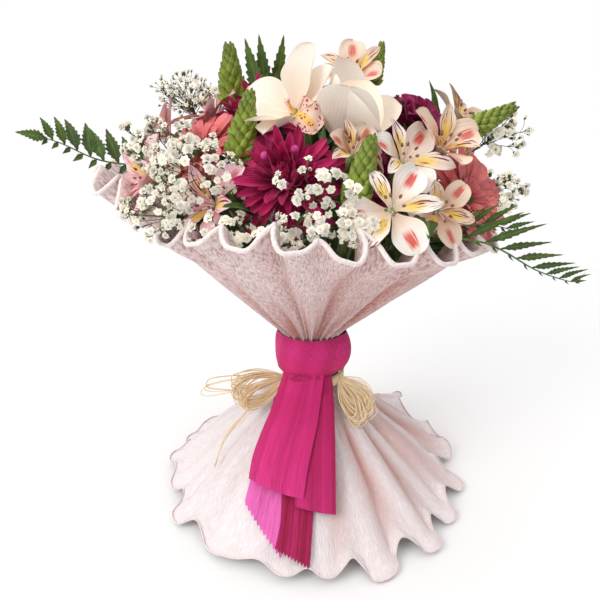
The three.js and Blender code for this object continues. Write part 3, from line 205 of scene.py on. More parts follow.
@dataclass
class Sheaf:
    """Grids of points that are gathered into one mesh.

    Each grid becomes quads, with a UV map that runs 0 to 1 across its columns and along its rows, and
    carries a `tone`, mostly drawn for each grid but painted light and shade on the paper and the ribbon,
    and a `kind`, which tells its material what it is.
    """

    points: list[Array] = field(default_factory=list)
    quads: list[Array] = field(default_factory=list)
    corners: list[Array] = field(default_factory=list)
    marks: list[Array] = field(default_factory=list)
    slots: list[Array] = field(default_factory=list)
    total: int = 0

    def add(
        self, grids: Array, tone: Array | float = 0.5, kind: float = 0.0, slot: int = 0, hoop: bool = False
    ) -> Self:
        """Adds grids of points.

        Args:
            grids: points in millimetres, of shape (..., rows, columns, 3).
            tone: a number for each point, one for each grid, or one for all.
            kind: what the grids are, for their material.
            slot: the number of their material on the piece.
            hoop: whether each row closes on itself.

        Returns:
            The sheaf itself.
        """
        rows, columns = grids.shape[-3:-1]
        grids = grids.reshape(-1, rows, columns, 3)
        count, width = len(grids), columns if hoop else columns - 1
        row, column = (a.ravel() for a in np.meshgrid(np.arange(rows - 1), np.arange(width), indexing="ij"))
        down, beside = np.stack([row, row, row + 1, row + 1], 1), (column + 1) % columns
        quad = down * columns + np.stack([column, beside, beside, column], 1)
        starts = self.total + np.arange(count) * rows * columns
        across = np.stack([column, column + 1, column + 1, column], 1) / width
        along = down / (rows - 1)
        self.points.append(grids.reshape(-1, 3))
        self.quads.append((starts[:, None, None] + quad).reshape(-1, 4))
        self.corners.append(np.tile(np.stack([across, along], -1).reshape(-1, 2), (count, 1)))
        tones = np.asarray(tone, float).ravel()
        each = rows * columns if tones.size <= count else 1
        tones = np.broadcast_to(tones, count * rows * columns // each).repeat(each)
        self.marks.append(np.stack([tones, np.full(len(tones), kind)], 1))
        self.slots.append(np.full(count * len(quad), slot))
        self.total += grids.size // 3
        return self

    def build(self, name: str, finishes: "Sequence[Finish]", weld: bool = True) -> Piece:
        """Writes the mesh and puts its object in the scene.

        Args:
            name: the piece's name.
            finishes: what it is finished with, in the order of the slots.
            weld: whether points in one place become one, which closes poles and tips.

        Returns:
            The new object.
        """
        mesh = bpy.data.meshes.new(name)
        points, quads = np.concatenate(self.points) * MM, np.concatenate(self.quads)
        mesh.vertices.add(len(points))
        mesh.vertices.foreach_set("co", points.ravel())
        mesh.loops.add(quads.size)
        mesh.loops.foreach_set("vertex_index", quads.ravel().astype(np.int32))
        mesh.polygons.add(len(quads))
        mesh.polygons.foreach_set("loop_start", np.arange(0, quads.size, 4, dtype=np.int32))
        mesh.polygons.foreach_set("material_index", np.concatenate(self.slots).astype(np.int32))
        mesh.update(calc_edges=True)
        mesh.uv_layers.new(name="UVMap").uv.foreach_set("vector", np.concatenate(self.corners).ravel())
        marks = np.concatenate(self.marks)
        for number, label in enumerate(("tone", "kind")):
            mesh.attributes.new(label, "FLOAT", "POINT").data.foreach_set("value", marks[:, number].copy())
        if weld:
            shape = bmesh.new()
            shape.from_mesh(mesh)
            bmesh.ops.remove_doubles(shape, verts=shape.verts, dist=2e-6)
            shape.to_mesh(mesh)
            shape.free()
        mesh.validate()
        mesh.polygons.foreach_set("use_smooth", np.ones(len(mesh.polygons), bool))
        for kind in finishes:
            mesh.materials.append(kind.material())
        piece = bpy.data.objects.new(name, mesh)
        bpy.context.scene.collection.objects.link(piece)
        return piece


def hand_in(piece: Piece, slot: str, *nodes: str) -> Piece:
    """Rides a piece on the part, hides the nodes that it stands for, and reports it."""
    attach(piece, "root")
    if nodes:
        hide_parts(*nodes)
    LOG.info("%s: %d faces, for %s", piece.name, len(piece.data.polygons), ", ".join(nodes) or "no node")
    return piece


class Shading:
    """A node tree with short ways to add what the finishes need."""

    def __init__(self, tree: Tree) -> None:
        """Keeps the tree that nodes go into."""
        self.tree = tree

    def feed(self, node: Node, inputs: dict[str | int, object]) -> Node:
        """Gives a node's inputs, by name or number, their values or links, and returns the node."""
        for key, value in inputs.items():
            if isinstance(value, Socket):
                self.tree.links.new(value, node.inputs[key])
            else:
                node.inputs[key].default_value = value
        return node

    def add(self, kind: str, inputs: dict[str | int, object] | None = None, **settings: object) -> Node:
        """Adds a node.

        Args:
            kind: the node's type.
            inputs: a value or another node's output for each input, by name or number.
            **settings: the node's own properties.

        Returns:
            The new node.
        """
        node = self.tree.nodes.new(kind)
        for name, value in settings.items():
            setattr(node, name, value)
        return self.feed(node, inputs or {})

    def math(self, operation: str, a: object, b: object = 0.0, clamp: bool = False) -> Socket:
        """Returns one sum of two values, such as ADD or POWER."""
        return self.add("ShaderNodeMath", {0: a, 1: b}, operation=operation, use_clamp=clamp).outputs[0]

    def times(self, *values: object) -> Socket:
        """Returns the product of two or more values."""
        return reduce(lambda a, b: self.math("MULTIPLY", a, b), values)

    def one_minus(self, value: object) -> Socket:
        """Returns 1 minus a value."""
        return self.math("SUBTRACT", 1.0, value)

    def between(self, value: object, low: float, high: float, a: float = 0.0, b: float = 1.0) -> Socket:
        """Returns a to b as the value goes smoothly from low to high."""
        inputs = {0: value, 1: low, 2: high, 3: a, 4: b}
        return self.add("ShaderNodeMapRange", inputs, interpolation_type="SMOOTHSTEP").outputs[0]

    def fade(self, value: object, low: float, high: float, full: float = 1.0) -> Socket:
        """Returns `full` to 0 as the value goes smoothly from low to high."""
        return self.between(value, low, high, full, 0.0)

    def mix(self, share: object, a: object, b: object, blend: str = "MIX") -> Socket:
        """Returns colour a turned into colour b by a share."""
        values = [v if isinstance(v, Socket) else (*v, 1.0) for v in (a, b)]
        inputs = {0: share, 6: values[0], 7: values[1]}
        return self.add("ShaderNodeMix", inputs, data_type="RGBA", blend_type=blend).outputs[2]

    def shaded(self, colour: Socket, shade: Socket) -> Socket:
        """Returns a colour with each of its channels times a shade."""
        grey = self.add("ShaderNodeCombineColor", {0: shade, 1: shade, 2: shade}).outputs[0]
        return self.mix(1.0, colour, grey, "MULTIPLY")

    def noise(self, place: Socket, scale: float, detail: float = 2.0, roughness: float = 0.5) -> Socket:
        """Returns noise from 0 to 1 at a place."""
        inputs = {"Vector": place, "Scale": scale, "Detail": detail, "Roughness": roughness}
        return self.add("ShaderNodeTexNoise", inputs).outputs["Fac"]

    def attribute(self, name: str) -> Socket:
        """Returns a number that the mesh keeps for each point."""
        return self.add("ShaderNodeAttribute", attribute_name=name).outputs["Fac"]

    def uv(self) -> Socket:
        """Returns the place on the piece's own UV map."""
        return self.add("ShaderNodeUVMap", uv_map="UVMap").outputs["UV"]

    def part_of(self, place: Socket, axis: int) -> Socket:
        """Returns one part of a place: 0 runs across a grid's rows and 1 along them."""
        return self.add("ShaderNodeSeparateXYZ", {0: place}).outputs[axis]

    def stretched(self, place: Socket, scale: Place, shift: object = 0.0) -> Socket:
        """Returns a place times a scale along each axis, moved along its third axis by `shift`."""
        scaled = self.add("ShaderNodeVectorMath", {0: place, 1: scale}, operation="MULTIPLY").outputs[0]
        offset = self.add("ShaderNodeCombineXYZ", {2: shift}).outputs[0]
        return self.add("ShaderNodeVectorMath", {0: scaled, 1: offset}, operation="ADD").outputs[0]

    def group(self, name: str, inputs: dict[str | int, object]) -> Node:
        """Places a shared group with its own values and returns its node."""
        return self.add("ShaderNodeGroup", inputs, node_tree=shared(name))


def new_group(
    name: str, numbers: Sequence[str], outputs: Sequence[str]
) -> tuple[Shading, dict[str, Socket], Node]:
    """Starts a shared shader group that reads a `Place` and numbers, and puts out numbers.

    Args:
        name: the group's name.
        numbers: the names of its inputs beside `Place`.
        outputs: the names of its outputs.

    Returns:
        The shading to add to, the inputs' sockets inside it, and its output node.
    """
    tree = bpy.data.node_groups.new(name, "ShaderNodeTree")
    tree.interface.new_socket("Place", in_out="INPUT", socket_type="NodeSocketVector")
    for way, labels in (("INPUT", numbers), ("OUTPUT", outputs)):
        for label in labels:
            tree.interface.new_socket(label, in_out=way, socket_type="NodeSocketFloat")
    start, end = tree.nodes.new("NodeGroupInput"), tree.nodes.new("NodeGroupOutput")
    return Shading(tree), {label: start.outputs[label] for label in ("Place", *numbers)}, end


def crepe_group() -> Tree:
    """Builds the crepe grain: short wrinkles that run with the paper, from two stretched noises.

    Returns:
        A group with `Height` of the wrinkles and `Shade`, which is low in the deepest of them.
    """
    shading, given, end = new_group("crepe_grain", ("Across", "Along"), ("Height", "Shade"))
    scale = shading.add("ShaderNodeCombineXYZ", {0: given["Across"], 1: given["Along"], 2: 1.0}).outputs[0]
    scaled = shading.add("ShaderNodeVectorMath", {0: given["Place"], 1: scale}, operation="MULTIPLY")
    wide = shading.noise(scaled.outputs[0], 0.55, 1.0)
    fine = shading.noise(scaled.outputs[0], 1.7, 1.5, 0.55)
    height = shading.math("ADD", shading.times(wide, 0.2), shading.times(fine, 0.8))
    shading.feed(end, {"Height": height, "Shade": shading.between(height, 0.35, 0.58)})
    return shading.tree


def vein_group() -> Tree:
    """Builds a petal's veins: lines of one lane each that meet at the root and the tip.

    The lines are where the sine of the lane number peaks, bent a little by noise.

    Returns:
        A group with `Vein`, from 0 between veins to 1 on one, and `Edge`, from 0 at the midrib to 1.
    """
    shading, given, end = new_group("petal_veins", ("Veins", "Tone"), ("Vein", "Edge"))
    x = shading.part_of(given["Place"], 0)
    drift = shading.stretched(given["Place"], (3.0, 2.0, 1.0), shading.times(given["Tone"], 40.0))
    lane = shading.math("ADD", x, shading.times(shading.noise(drift, 1.0, 1.0), 0.05))
    turn = shading.times(lane, shading.times(given["Veins"], TURN))
    wave = shading.math("ABSOLUTE", shading.math("SINE", turn))
    edge = shading.math("ABSOLUTE", shading.math("SUBTRACT", shading.times(x, 2.0), 1.0))
    shading.feed(end, {"Vein": shading.math("POWER", wave, 4.0), "Edge": edge})
    return shading.tree


def streak_group() -> Tree:
    """Builds short dashes along a petal, where noise that is stretched along it is highest.

    Returns:
        A group with `Streak`, 1 on a dash and 0 off it. More `Amount` makes more dashes.
    """
    shading, given, end = new_group("petal_streaks", ("Tone", "Amount"), ("Streak",))
    drift = shading.stretched(given["Place"], (11.0, 2.6, 1.0), shading.times(given["Tone"], 60.0))
    limit = shading.math("SUBTRACT", 0.72, shading.times(given["Amount"], 0.2))
    over = shading.math("SUBTRACT", shading.noise(drift, 1.0, 1.5, 0.4), limit)
    shading.feed(end, {"Streak": shading.math("MULTIPLY", over, 26.0, clamp=True)})
    return shading.tree


GROUPS: dict[str, Tree] = {}


def shared(name: str) -> Tree:
    """Returns a shared group by name, and builds it the first time."""
    makers = {"crepe": crepe_group, "veins": vein_group, "streaks": streak_group}
    if name not in GROUPS:
        GROUPS[name] = makers[name]()
    return GROUPS[name]


MATERIALS: dict[str, bpy.types.Material] = {}


@dataclass(frozen=True)
class Finish:
    """A finish, by its material's name. Each kind of finish adds its own nodes in `wire`."""

    name: str
    SPECULAR = 0.35

    def wire(self, shading: Shading) -> None:
        """Adds the nodes of this kind of finish."""
        raise NotImplementedError

    def material(self) -> bpy.types.Material:
        """Returns the finish's material, and builds it the first time."""
        if self.name not in MATERIALS:
            MATERIALS[self.name] = bpy.data.materials.new(self.name)
            MATERIALS[self.name].use_nodes = True
            self.wire(Shading(MATERIALS[self.name].node_tree))
        return MATERIALS[self.name]

    def dress(
        self, shading: Shading, colour: Socket, roughness: float, height: Socket | None = None,
        depth: float = 0.0, sheen: float = 0.0, glow: float = 0.0,
    ) -> None:
        """Feeds the material's Principled BSDF.

        Args:
            shading: the material's nodes.
            colour: the colour over the surface.
            roughness: one roughness for all of it.
            height: the relief over the surface, from 0 to 1.
            depth: how deep that relief is, in millimetres.
            sheen: the strength of its soft sheen.
            glow: a painted glow: the surface emits its own colour at this share, for light through the sheet.
        """
        inputs = {"Base Color": colour, "Roughness": roughness, "Sheen Weight": sheen}
        inputs["Specular IOR Level"] = self.SPECULAR
        # Painted glow: emission that stands in for light passing through the thin sheet.
        if glow:
            inputs |= {"Emission Color": colour, "Emission Strength": glow}
        if height is not None:
            bump = shading.add("ShaderNodeBump", {"Height": height, "Strength": 1.0, "Distance": depth * MM})
            inputs["Normal"] = bump.outputs["Normal"]
        shading.feed(shading.tree.nodes["Principled BSDF"], inputs)


@dataclass(frozen=True)
class CrepeFinish(Finish):
    """Crepe paper: its ridges have the colour `start` below the stretch of v that `turns` gives and `ridge`
    above it, which paints light along the piece: the wrap's skirt, which faces up to the light, is
    painted paler than its collar. Its wrinkles take a tint of painted shade in their hollows, less of it
    near the start. A piece's tone turns it towards `deep`: on the wrap that is painted shade and a painted
    reflection of the ribbon, on the ribbon painted shade and long streaks. A rolled lip stands `lip_at`
    from the middle of v."""

    start: Colour
    ridge: Colour
    hollow: Colour
    deep: Colour
    across: float
    along: float
    depth: float = 0.35
    lip: Colour | None = None
    turns: Span = (0.3, 0.6)
    lip_at: Span = (0.43, 0.455)
    start_cover: float = 0.8

    def wire(self, shading: Shading) -> None:
        """Adds the colours and the grain, which follow the UV map."""
        uv = shading.uv()
        v = shading.part_of(uv, 1)
        grain = shading.group("crepe", {"Place": uv, "Across": self.across, "Along": self.along})
        # Painted light along v: from `start` to `ridge`, so the wrap's skirt is paler than its collar.
        ridge = shading.mix(shading.between(v, *self.turns), self.start, self.ridge)
        # The tone paints shade, and on the wrap the ribbon's reflection, by turning the colour towards
        # `deep`.
        ridge = shading.mix(shading.attribute("tone"), ridge, self.deep)
        # Painted shade in the wrinkles' hollows, held back near the start of v.
        cover = shading.fade(v, *self.turns, self.start_cover)
        share = shading.math("MAXIMUM", grain.outputs["Shade"], cover)
        tint = shading.mix(share, self.hollow, (1.0, 1.0, 1.0))
        colour = shading.mix(1.0, ridge, tint, "MULTIPLY")
        if self.lip is not None:
            middle = shading.math("ABSOLUTE", shading.math("SUBTRACT", v, 0.5))
            colour = shading.mix(shading.between(middle, *self.lip_at), colour, self.lip)
        self.dress(shading, colour, 0.82, grain.outputs["Height"], self.depth, sheen=0.1)


@dataclass(frozen=True)
class PetalFinish(Finish):
    """A petal: one colour at its root, one at its tip, a rim and veins."""

    root: Colour
    tip: Colour
    rim: Colour
    veins: float = 5.0
    vein_strength: float = 0.25
    rim_strength: float = 0.4
    roughness: float = 0.5
    sheen: float = 0.1
    # glow is a painted glow: emission of the petal's own colour.
    glow: float = 0.04
    depth: float = 0.25
    turns: Span = (0.05, 0.75)
    shades: Span = (0.8, 1.12)

    def wire(self, shading: Shading) -> None:
        """Adds the colours, which follow the UV map of each petal, and a shade for its tone."""
        uv, tone = shading.uv(), shading.attribute("tone")
        veins = shading.group("veins", {"Place": uv, "Veins": self.veins, "Tone": tone}).outputs
        colour = shading.mix(shading.between(shading.part_of(uv, 1), *self.turns), self.root, self.tip)
        edge = shading.times(shading.between(veins["Edge"], 0.5, 1.0), self.rim_strength)
        colour = shading.mix(edge, colour, self.rim)
        colour = shading.mix(shading.times(veins["Vein"], self.vein_strength), colour, self.root)
        colour = shading.shaded(colour, shading.between(tone, 0.0, 1.0, *self.shades))
        height = shading.one_minus(veins["Vein"])
        self.dress(shading, colour, self.roughness, height, self.depth, self.sheen, self.glow)


@dataclass(frozen=True)
class LilyFinish(Finish):
    """A Peruvian lily's tepals: broad ones (kind 0) with a blotch, narrow ones (kind 1) with a yellow throat
    and dark dashes. A mark grows over its first stretch of v and ends over its last; ragged noise moves
    the ends, and the edges of the blotch."""

    pale: Colour
    flush: Colour
    blotch: Colour
    blotch_strength: float
    throat: Colour = (0.90, 0.60, 0.05)
    dash: Colour = (0.20, 0.02, 0.03)
    blotch_v: tuple[Span, Span] = ((0.32, 0.5), (0.84, 1.0))
    blotch_edge: Span = (0.56, 0.8)
    throat_v: tuple[Span, Span] = ((0.05, 0.25), (0.5, 0.85))
    throat_edge: Span = (0.25, 0.95)
    dash_v: tuple[Span, Span] = ((0.2, 0.34), (0.86, 0.98))
    dashes: float = 0.75

    def wire(self, shading: Shading) -> None:
        """Adds the flush of root and midrib and then the marks, which follow the UV map of each tepal."""
        uv, tone, kind = shading.uv(), shading.attribute("tone"), shading.attribute("kind")
        v = shading.part_of(uv, 1)
        veins = shading.group("veins", {"Place": uv, "Veins": 4.0, "Tone": tone})
        streaks = shading.group("streaks", {"Place": uv, "Tone": tone, "Amount": self.dashes})
        vein, edge = veins.outputs["Vein"], veins.outputs["Edge"]
        low = shading.one_minus(shading.between(v, 0.1, 0.55))
        rib = shading.one_minus(shading.between(edge, 0.0, 0.5))
        flush = shading.math("MAXIMUM", shading.times(rib, 0.45), low)
        colour = shading.mix(flush, self.pale, self.flush)
        colour = shading.mix(shading.times(vein, 0.14), colour, self.flush)

        drift = shading.stretched(uv, (19.0, 1.3, 1.0), shading.times(tone, 9.0))
        ragged = shading.noise(drift, 1.0, 3.0, 0.6)
        inside = shading.fade(shading.math("ADD", edge, shading.times(ragged, 0.9)), *self.blotch_edge)
        moved = shading.math("ADD", v, shading.times(ragged, 0.35))
        length = shading.times(shading.between(v, *self.blotch_v[0]), shading.fade(moved, *self.blotch_v[1]))
        spot = shading.times(inside, length, shading.one_minus(kind), self.blotch_strength)
        colour = shading.mix(spot, colour, self.blotch)

        length = shading.times(shading.between(v, *self.throat_v[0]), shading.fade(moved, *self.throat_v[1]))
        heart = shading.times(length, shading.fade(edge, *self.throat_edge, 0.85), kind)
        colour = shading.mix(heart, colour, self.throat)

        length = shading.times(shading.between(v, *self.dash_v[0]), shading.fade(v, *self.dash_v[1]))
        dashed = shading.times(length, shading.times(streaks.outputs["Streak"], kind))
        colour = shading.mix(dashed, colour, self.dash)
        self.dress(shading, colour, 0.42, shading.one_minus(vein), 0.12, 0.1, 0.05)


@dataclass(frozen=True)
class LipFinish(Finish):
    """An orchid's lip: flushed, with dark dots and a yellow crest along its middle."""

    pale: Colour = (0.86, 0.62, 0.52)
    dots: Colour = (0.45, 0.02, 0.06)
    crest: Colour = (0.85, 0.55, 0.12)
    dot_size: Span = (0.28, 0.4)

    def wire(self, shading: Shading) -> None:
        """Adds the dots, which are the cores of Voronoi cells on the UV map, over the crest."""
        uv = shading.uv()
        v = shading.part_of(uv, 1)
        edge = shading.group("veins", {"Place": uv, "Veins": 3.0, "Tone": 0.3}).outputs["Edge"]
        place = shading.stretched(uv, (10.0, 13.0, 1.0))
        cells = shading.add("ShaderNodeTexVoronoi", {"Vector": place, "Scale": 1.0}).outputs["Distance"]
        dot = shading.times(shading.fade(cells, *self.dot_size), shading.between(v, 0.15, 0.3))
        crest = shading.times(shading.fade(edge, 0.1, 0.35), shading.fade(v, 0.7, 0.85))
        colour = shading.mix(dot, shading.mix(crest, self.pale, self.crest), self.dots)
        self.dress(shading, colour, 0.4, sheen=0.1, glow=0.04)


@dataclass(frozen=True)
class GreenFinish(Finish):
    """Foliage, stems and buds: a midrib or base tone, a blade tone and fine ribs."""

    rib: Colour
    blade: Colour
    tip: Colour
    veins: float = 7.0
    roughness: float = 0.45
    depth: float = 0.2
    mottle: Span = (0.78, 1.15)
    shades: Span = (0.75, 1.2)

    def wire(self, shading: Shading) -> None:
        """Adds colours that run from rib to blade across and to the tip along, with a mottle."""
        uv, tone = shading.uv(), shading.attribute("tone")
        veins = shading.group("veins", {"Place": uv, "Veins": self.veins, "Tone": tone}).outputs
        colour = shading.mix(shading.between(veins["Edge"], 0.0, 0.22), self.rib, self.blade)
        colour = shading.mix(shading.between(shading.part_of(uv, 1), 0.45, 1.0), colour, self.tip)
        place = shading.add("ShaderNodeTexCoord").outputs["Object"]
        mottle = shading.between(shading.noise(place, 160.0), 0.3, 0.7, *self.mottle)
        colour = shading.shaded(colour, shading.times(mottle, shading.between(tone, 0.0, 1.0, *self.shades)))
        height = shading.one_minus(veins["Vein"])
        self.dress(shading, colour, self.roughness, height, self.depth, glow=0.02)


@dataclass(frozen=True)
class StrawFinish(Finish):
    """Raffia and string: long fibres of two tones."""

    light: Colour
    dark: Colour

    def wire(self, shading: Shading) -> None:
        """Adds the fibres, which run along each strand."""
        tone = shading.attribute("tone")
        drift = shading.stretched(shading.uv(), (7.0, 3.0, 1.0), shading.times(tone, 90.0))
        fibres = shading.noise(drift, 1.0, 3.0, 0.6)
        more = shading.math("SUBTRACT", tone, 0.5)
        share = shading.math("ADD", shading.between(fibres, 0.3, 0.7), more, clamp=True)
        self.dress(shading, shading.mix(share, self.light, self.dark), 0.6, fibres, 0.3, 0.1, 0.03)


@dataclass(frozen=True)
class FloorFinish(Finish):
    """The pale plain floor."""

    name: str = "studio_floor"
    colour: Colour = (0.97, 0.97, 0.97)
    darker: float = 0.985

    def wire(self, shading: Shading) -> None:
        """Adds a faint mottle, so that the floor isn't one flat colour."""
        cloud = shading.noise(shading.add("ShaderNodeTexCoord").outputs["Object"], 3.0)
        self.dress(shading, shading.mix(cloud, self.colour, [self.darker * c for c in self.colour]), 0.9)


PAPER = CrepeFinish(
    "pink_crepe", (0.95, 0.885, 0.90), (0.875, 0.745, 0.735), (0.62, 0.52, 0.51), (0.58, 0.24, 0.18),
    across=540.0, along=36.0, depth=1.4, lip=(0.91, 0.80, 0.78),
)
RIBBON = CrepeFinish(
    "magenta_crepe", (0.72, 0.024, 0.21), (0.77, 0.036, 0.26), (0.62, 0.45, 0.52), (0.34, 0.003, 0.05),
    across=95.0, along=6.0, depth=0.4,
)
LIT_RIBBON = CrepeFinish(
    "magenta_crepe_lit", (0.74, 0.035, 0.26), (0.90, 0.17, 0.56), (0.72, 0.55, 0.62), (0.50, 0.012, 0.12),
    across=95.0, along=6.0, depth=0.4,
)
BAND_RIBBON = CrepeFinish(
    "magenta_crepe_band", (0.70, 0.022, 0.19), (0.74, 0.03, 0.235), (0.66, 0.5, 0.56), (0.34, 0.003, 0.05),
    across=420.0, along=5.0, depth=0.3,
)
MUM = PetalFinish(
    "chrysanthemum_petal", (0.20, 0.001, 0.026), (0.60, 0.010, 0.13), (0.76, 0.055, 0.30), 3.0, 0.35, 0.45
)
MUM_BUD = PetalFinish(
    "chrysanthemum_bud", (0.50, 0.03, 0.20), (0.66, 0.06, 0.33), (0.70, 0.10, 0.40), 6.0, 0.3, 0.3
)
CARNATION = PetalFinish(
    "carnation_petal", (0.14, 0.0, 0.02), (0.30, 0.004, 0.075), (0.42, 0.02, 0.13), 5.0, 0.3, 0.4
)
GERBERA = PetalFinish(
    "gerbera_ray", (0.64, 0.09, 0.10), (0.82, 0.20, 0.20), (0.88, 0.34, 0.34), 3.0, 0.3, 0.3
)
# The tepals and the florets carry the strongest painted glow, emission of their own colour.
IVORY = PetalFinish(
    "cymbidium_tepal", (0.84, 0.68, 0.53), (0.93, 0.84, 0.74), (0.95, 0.89, 0.82), 9.0, 0.10, 0.5,
    roughness=0.4, glow=0.18, depth=0.08,
)
FLORET = PetalFinish(
    "gypsophila_floret", (0.72, 0.68, 0.50), (0.91, 0.88, 0.82), (0.93, 0.91, 0.87), 2.0, 0.05, 0.5,
    roughness=0.6, glow=0.2, depth=0.03,
)
LIP = LipFinish("cymbidium_lip")
WHITE_LILY = LilyFinish(
    "alstroemeria_white", (0.87, 0.82, 0.76), (0.82, 0.62, 0.48), (0.66, 0.08, 0.06), 0.95
)
PEACH_LILY = LilyFinish("alstroemeria_peach", (0.83, 0.66, 0.52), (0.76, 0.42, 0.28), (0.62, 0.09, 0.07), 0.9)
PINK_LILY = LilyFinish("alstroemeria_pink", (0.90, 0.62, 0.66), (0.84, 0.34, 0.40), (0.74, 0.08, 0.15), 0.75)
ANTHER = GreenFinish("anther", (0.20, 0.10, 0.07), (0.28, 0.16, 0.11), (0.33, 0.20, 0.14), 2.0, 0.7)
LEAF = GreenFinish("leaf", (0.20, 0.30, 0.06), (0.055, 0.125, 0.022), (0.08, 0.17, 0.03), 9.0, 0.42)
FERN = GreenFinish(
    "leatherleaf", (0.12, 0.18, 0.03), (0.055, 0.105, 0.016), (0.105, 0.17, 0.022), 3.0, 0.45
)
STEM = GreenFinish("cut_stem", (0.16, 0.27, 0.07), (0.16, 0.27, 0.07), (0.22, 0.34, 0.09), 6.0, 0.5)
TWIG = GreenFinish("gypsophila_twig", (0.14, 0.13, 0.06), (0.13, 0.13, 0.05), (0.20, 0.22, 0.09), 2.0, 0.6)
BUD = GreenFinish(
    "ornithogalum_bud", (0.52, 0.56, 0.17), (0.29, 0.36, 0.05), (0.11, 0.19, 0.02), 4.0, 0.38, 0.15
)
RAFFIA = StrawFinish("raffia_straw", (0.97, 0.88, 0.68), (0.80, 0.55, 0.26))
STRING = StrawFinish("binding_twine", (0.72, 0.62, 0.44), (0.45, 0.34, 0.2))


@dataclass
class PaperWrap:
    """One sheet of crepe, gathered at the neck, with a fluted collar above and a fluted skirt below.

    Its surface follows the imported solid's: round the neck, `collar` and `skirt` give radius and height as
    a straight cone plus soft folds plus flutes that grow towards the edge. `neck_low` to `hem` and
    `neck_high` to `rim` are the cones, by radius and height. A field of Waves holds (height, turns,
    phase). `dents` holds where the rim leaves its oval: angle and width in degrees, way out, way up.
    `ears` holds the skirt's raised lobes: angle in radians, lift.
    """

    columns: int = 560
    skirt_rows: int = 44
    neck_rows: int = 8
    collar_rows: int = 62
    neck_low: Span = (24.5, 108.0)
    neck_high: Span = (30.0, 158.0)
    rim: Span = (155.0, 275.0)
    hem: Span = (138.0, 7.0)
    gather: Waves = ((0.05, 3, 1.0), (0.025, 7, 2.2))
    dents: tuple[tuple[float, float, float, float], ...] = ((225, 18, -22, -18), (190, 20, 4, 9))
    flutes: int = 28
    flute_start: float = 0.68
    flute_depth: float = 6.5
    flute_lift: float = 8.0
    flute_drift: Waves = ((0.035, 3, 0.5), (0.02, 7, 2.0))
    flute_growth: Waves = ((0.25, 5, 1.2), (0.15, 9, 0.0))
    hem_flutes: int = 19
    hem_start: float = 0.6
    hem_depth: float = 8.0
    hem_drop: float = 7.4
    hem_drift: Waves = ((0.05, 2, 0.5), (0.035, 5, 2.0))
    hem_growth: Waves = ((0.16, 5, 1.2), (0.12, 9, 0.0))
    pinch: float = 0.035
    ears: tuple[Span, ...] = ((0.76, 27.0), (0.26, 15.0))
    ear_width: float = 0.15
    creases: int = 17
    collar_seed: int = 4
    skirt_seed: int = 9
    lip_radius: float = 2.1
    lip_turn: float = math.radians(210)
    lip_rows: int = 7
    sheet_cut: Span = (0.60, 0.40)

    def real_angle(self, phi: Array) -> Array:
        """Returns the angle round the neck of each place round the unevenly gathered sheet."""
        return waves(phi, self.gather, phi)

    def crest(self, turn: Array) -> Array:
        """Returns the wave of flutes with narrow crests, (cos p + 0.3 cos 2p) / 1.3 of their phase p."""
        return (np.cos(turn) + 0.3 * np.cos(2 * turn)) / 1.3

    def flute(self, phi: Array, t: Array) -> Array:
        """Returns the collar's flutes, which grow smoothly from `flute_start`, unevenly round the sheet."""
        wave = self.crest(self.flutes * waves(phi, self.flute_drift, phi))
        strength = waves(phi, self.flute_growth, 1.05 + 0.3 * np.cos(14 * phi + 0.8))
        return wave * (strength * smoothstep((t - self.flute_start) / (1 - self.flute_start)))

    def crease(self, phi: Array, t: Array, seed: int) -> Array:
        """Gives the creases that fan out from the tie, narrow bells at uneven places round the sheet.

        A bell is 0.03 + 0.045 t radians wide. All of them swell as sin(pi (t + 0.08) / 1.02)^0.75.

        Args:
            phi: places round the sheet, in radians.
            t: the share of the way out from the tie.
            seed: what sets these creases apart from others.

        Returns:
            How deep the sheet is creased, about 0 to 1.
        """
        rng = np.random.default_rng(seed)
        count = self.creases
        middle = (np.arange(count) + rng.uniform(-0.32, 0.32, count)) * TURN / count
        bells = rng.uniform(0.35, 1, count) * bell(apart(phi[..., None], middle), 0.03 + 0.045 * t[..., None])
        return bells.sum(-1) * np.sin(math.pi * np.clip((t + 0.08) / 1.02, 0, 1)) ** 0.75

    def fold(self, phi: Array) -> Array:
        """Returns the soft folds: sin(11 phi + 1.2 sin 2 phi) + 0.4 sin(5 phi + 0.8)."""
        return np.sin(11 * phi + 1.2 * np.sin(2 * phi)) + 0.4 * np.sin(5 * phi + 0.8)

    def pleat(self, phi: Array, t: Array) -> Array:
        """Returns the pleats that the tie presses in, up to 3.6 deep, and gone at t = 0.75."""
        wave = np.sin(29 * phi + 2 * np.sin(5 * phi)) + 0.5 * np.sin(67 * phi + 3 * np.sin(3 * phi + 1))
        return (wave - 1.5) * (1 - smoothstep(t / 0.75)) * 1.2

    def crumple(self, phi: Array, t: Array) -> Array:
        """Returns small uneven waves of a hand-stretched sheet, from sines whose phase drifts along it."""
        wide = np.sin(17 * phi + 5 * t + 2 * np.sin(3 * phi))
        fine = np.sin(31 * phi - 7 * t + 1.5 * np.sin(4 * phi))
        return 0.8 * (wide + 0.7 * fine) * np.sin(math.pi * np.clip(t, 0, 1)) ** 0.7

    def rim_at(self, theta: Array) -> tuple[Array, Array]:
        """Returns the rim's mean radius and height at an angle: an oval set back to the left, with dents."""
        radius, height = self.rim[0] - 12 * np.cos(theta), self.rim[1] - 19 * np.cos(theta)
        for place, width, out, up in self.dents:
            near = bell(apart(np.degrees(theta), place, 360), width)
            radius, height = radius + out * near, height + up * near
        return radius, height

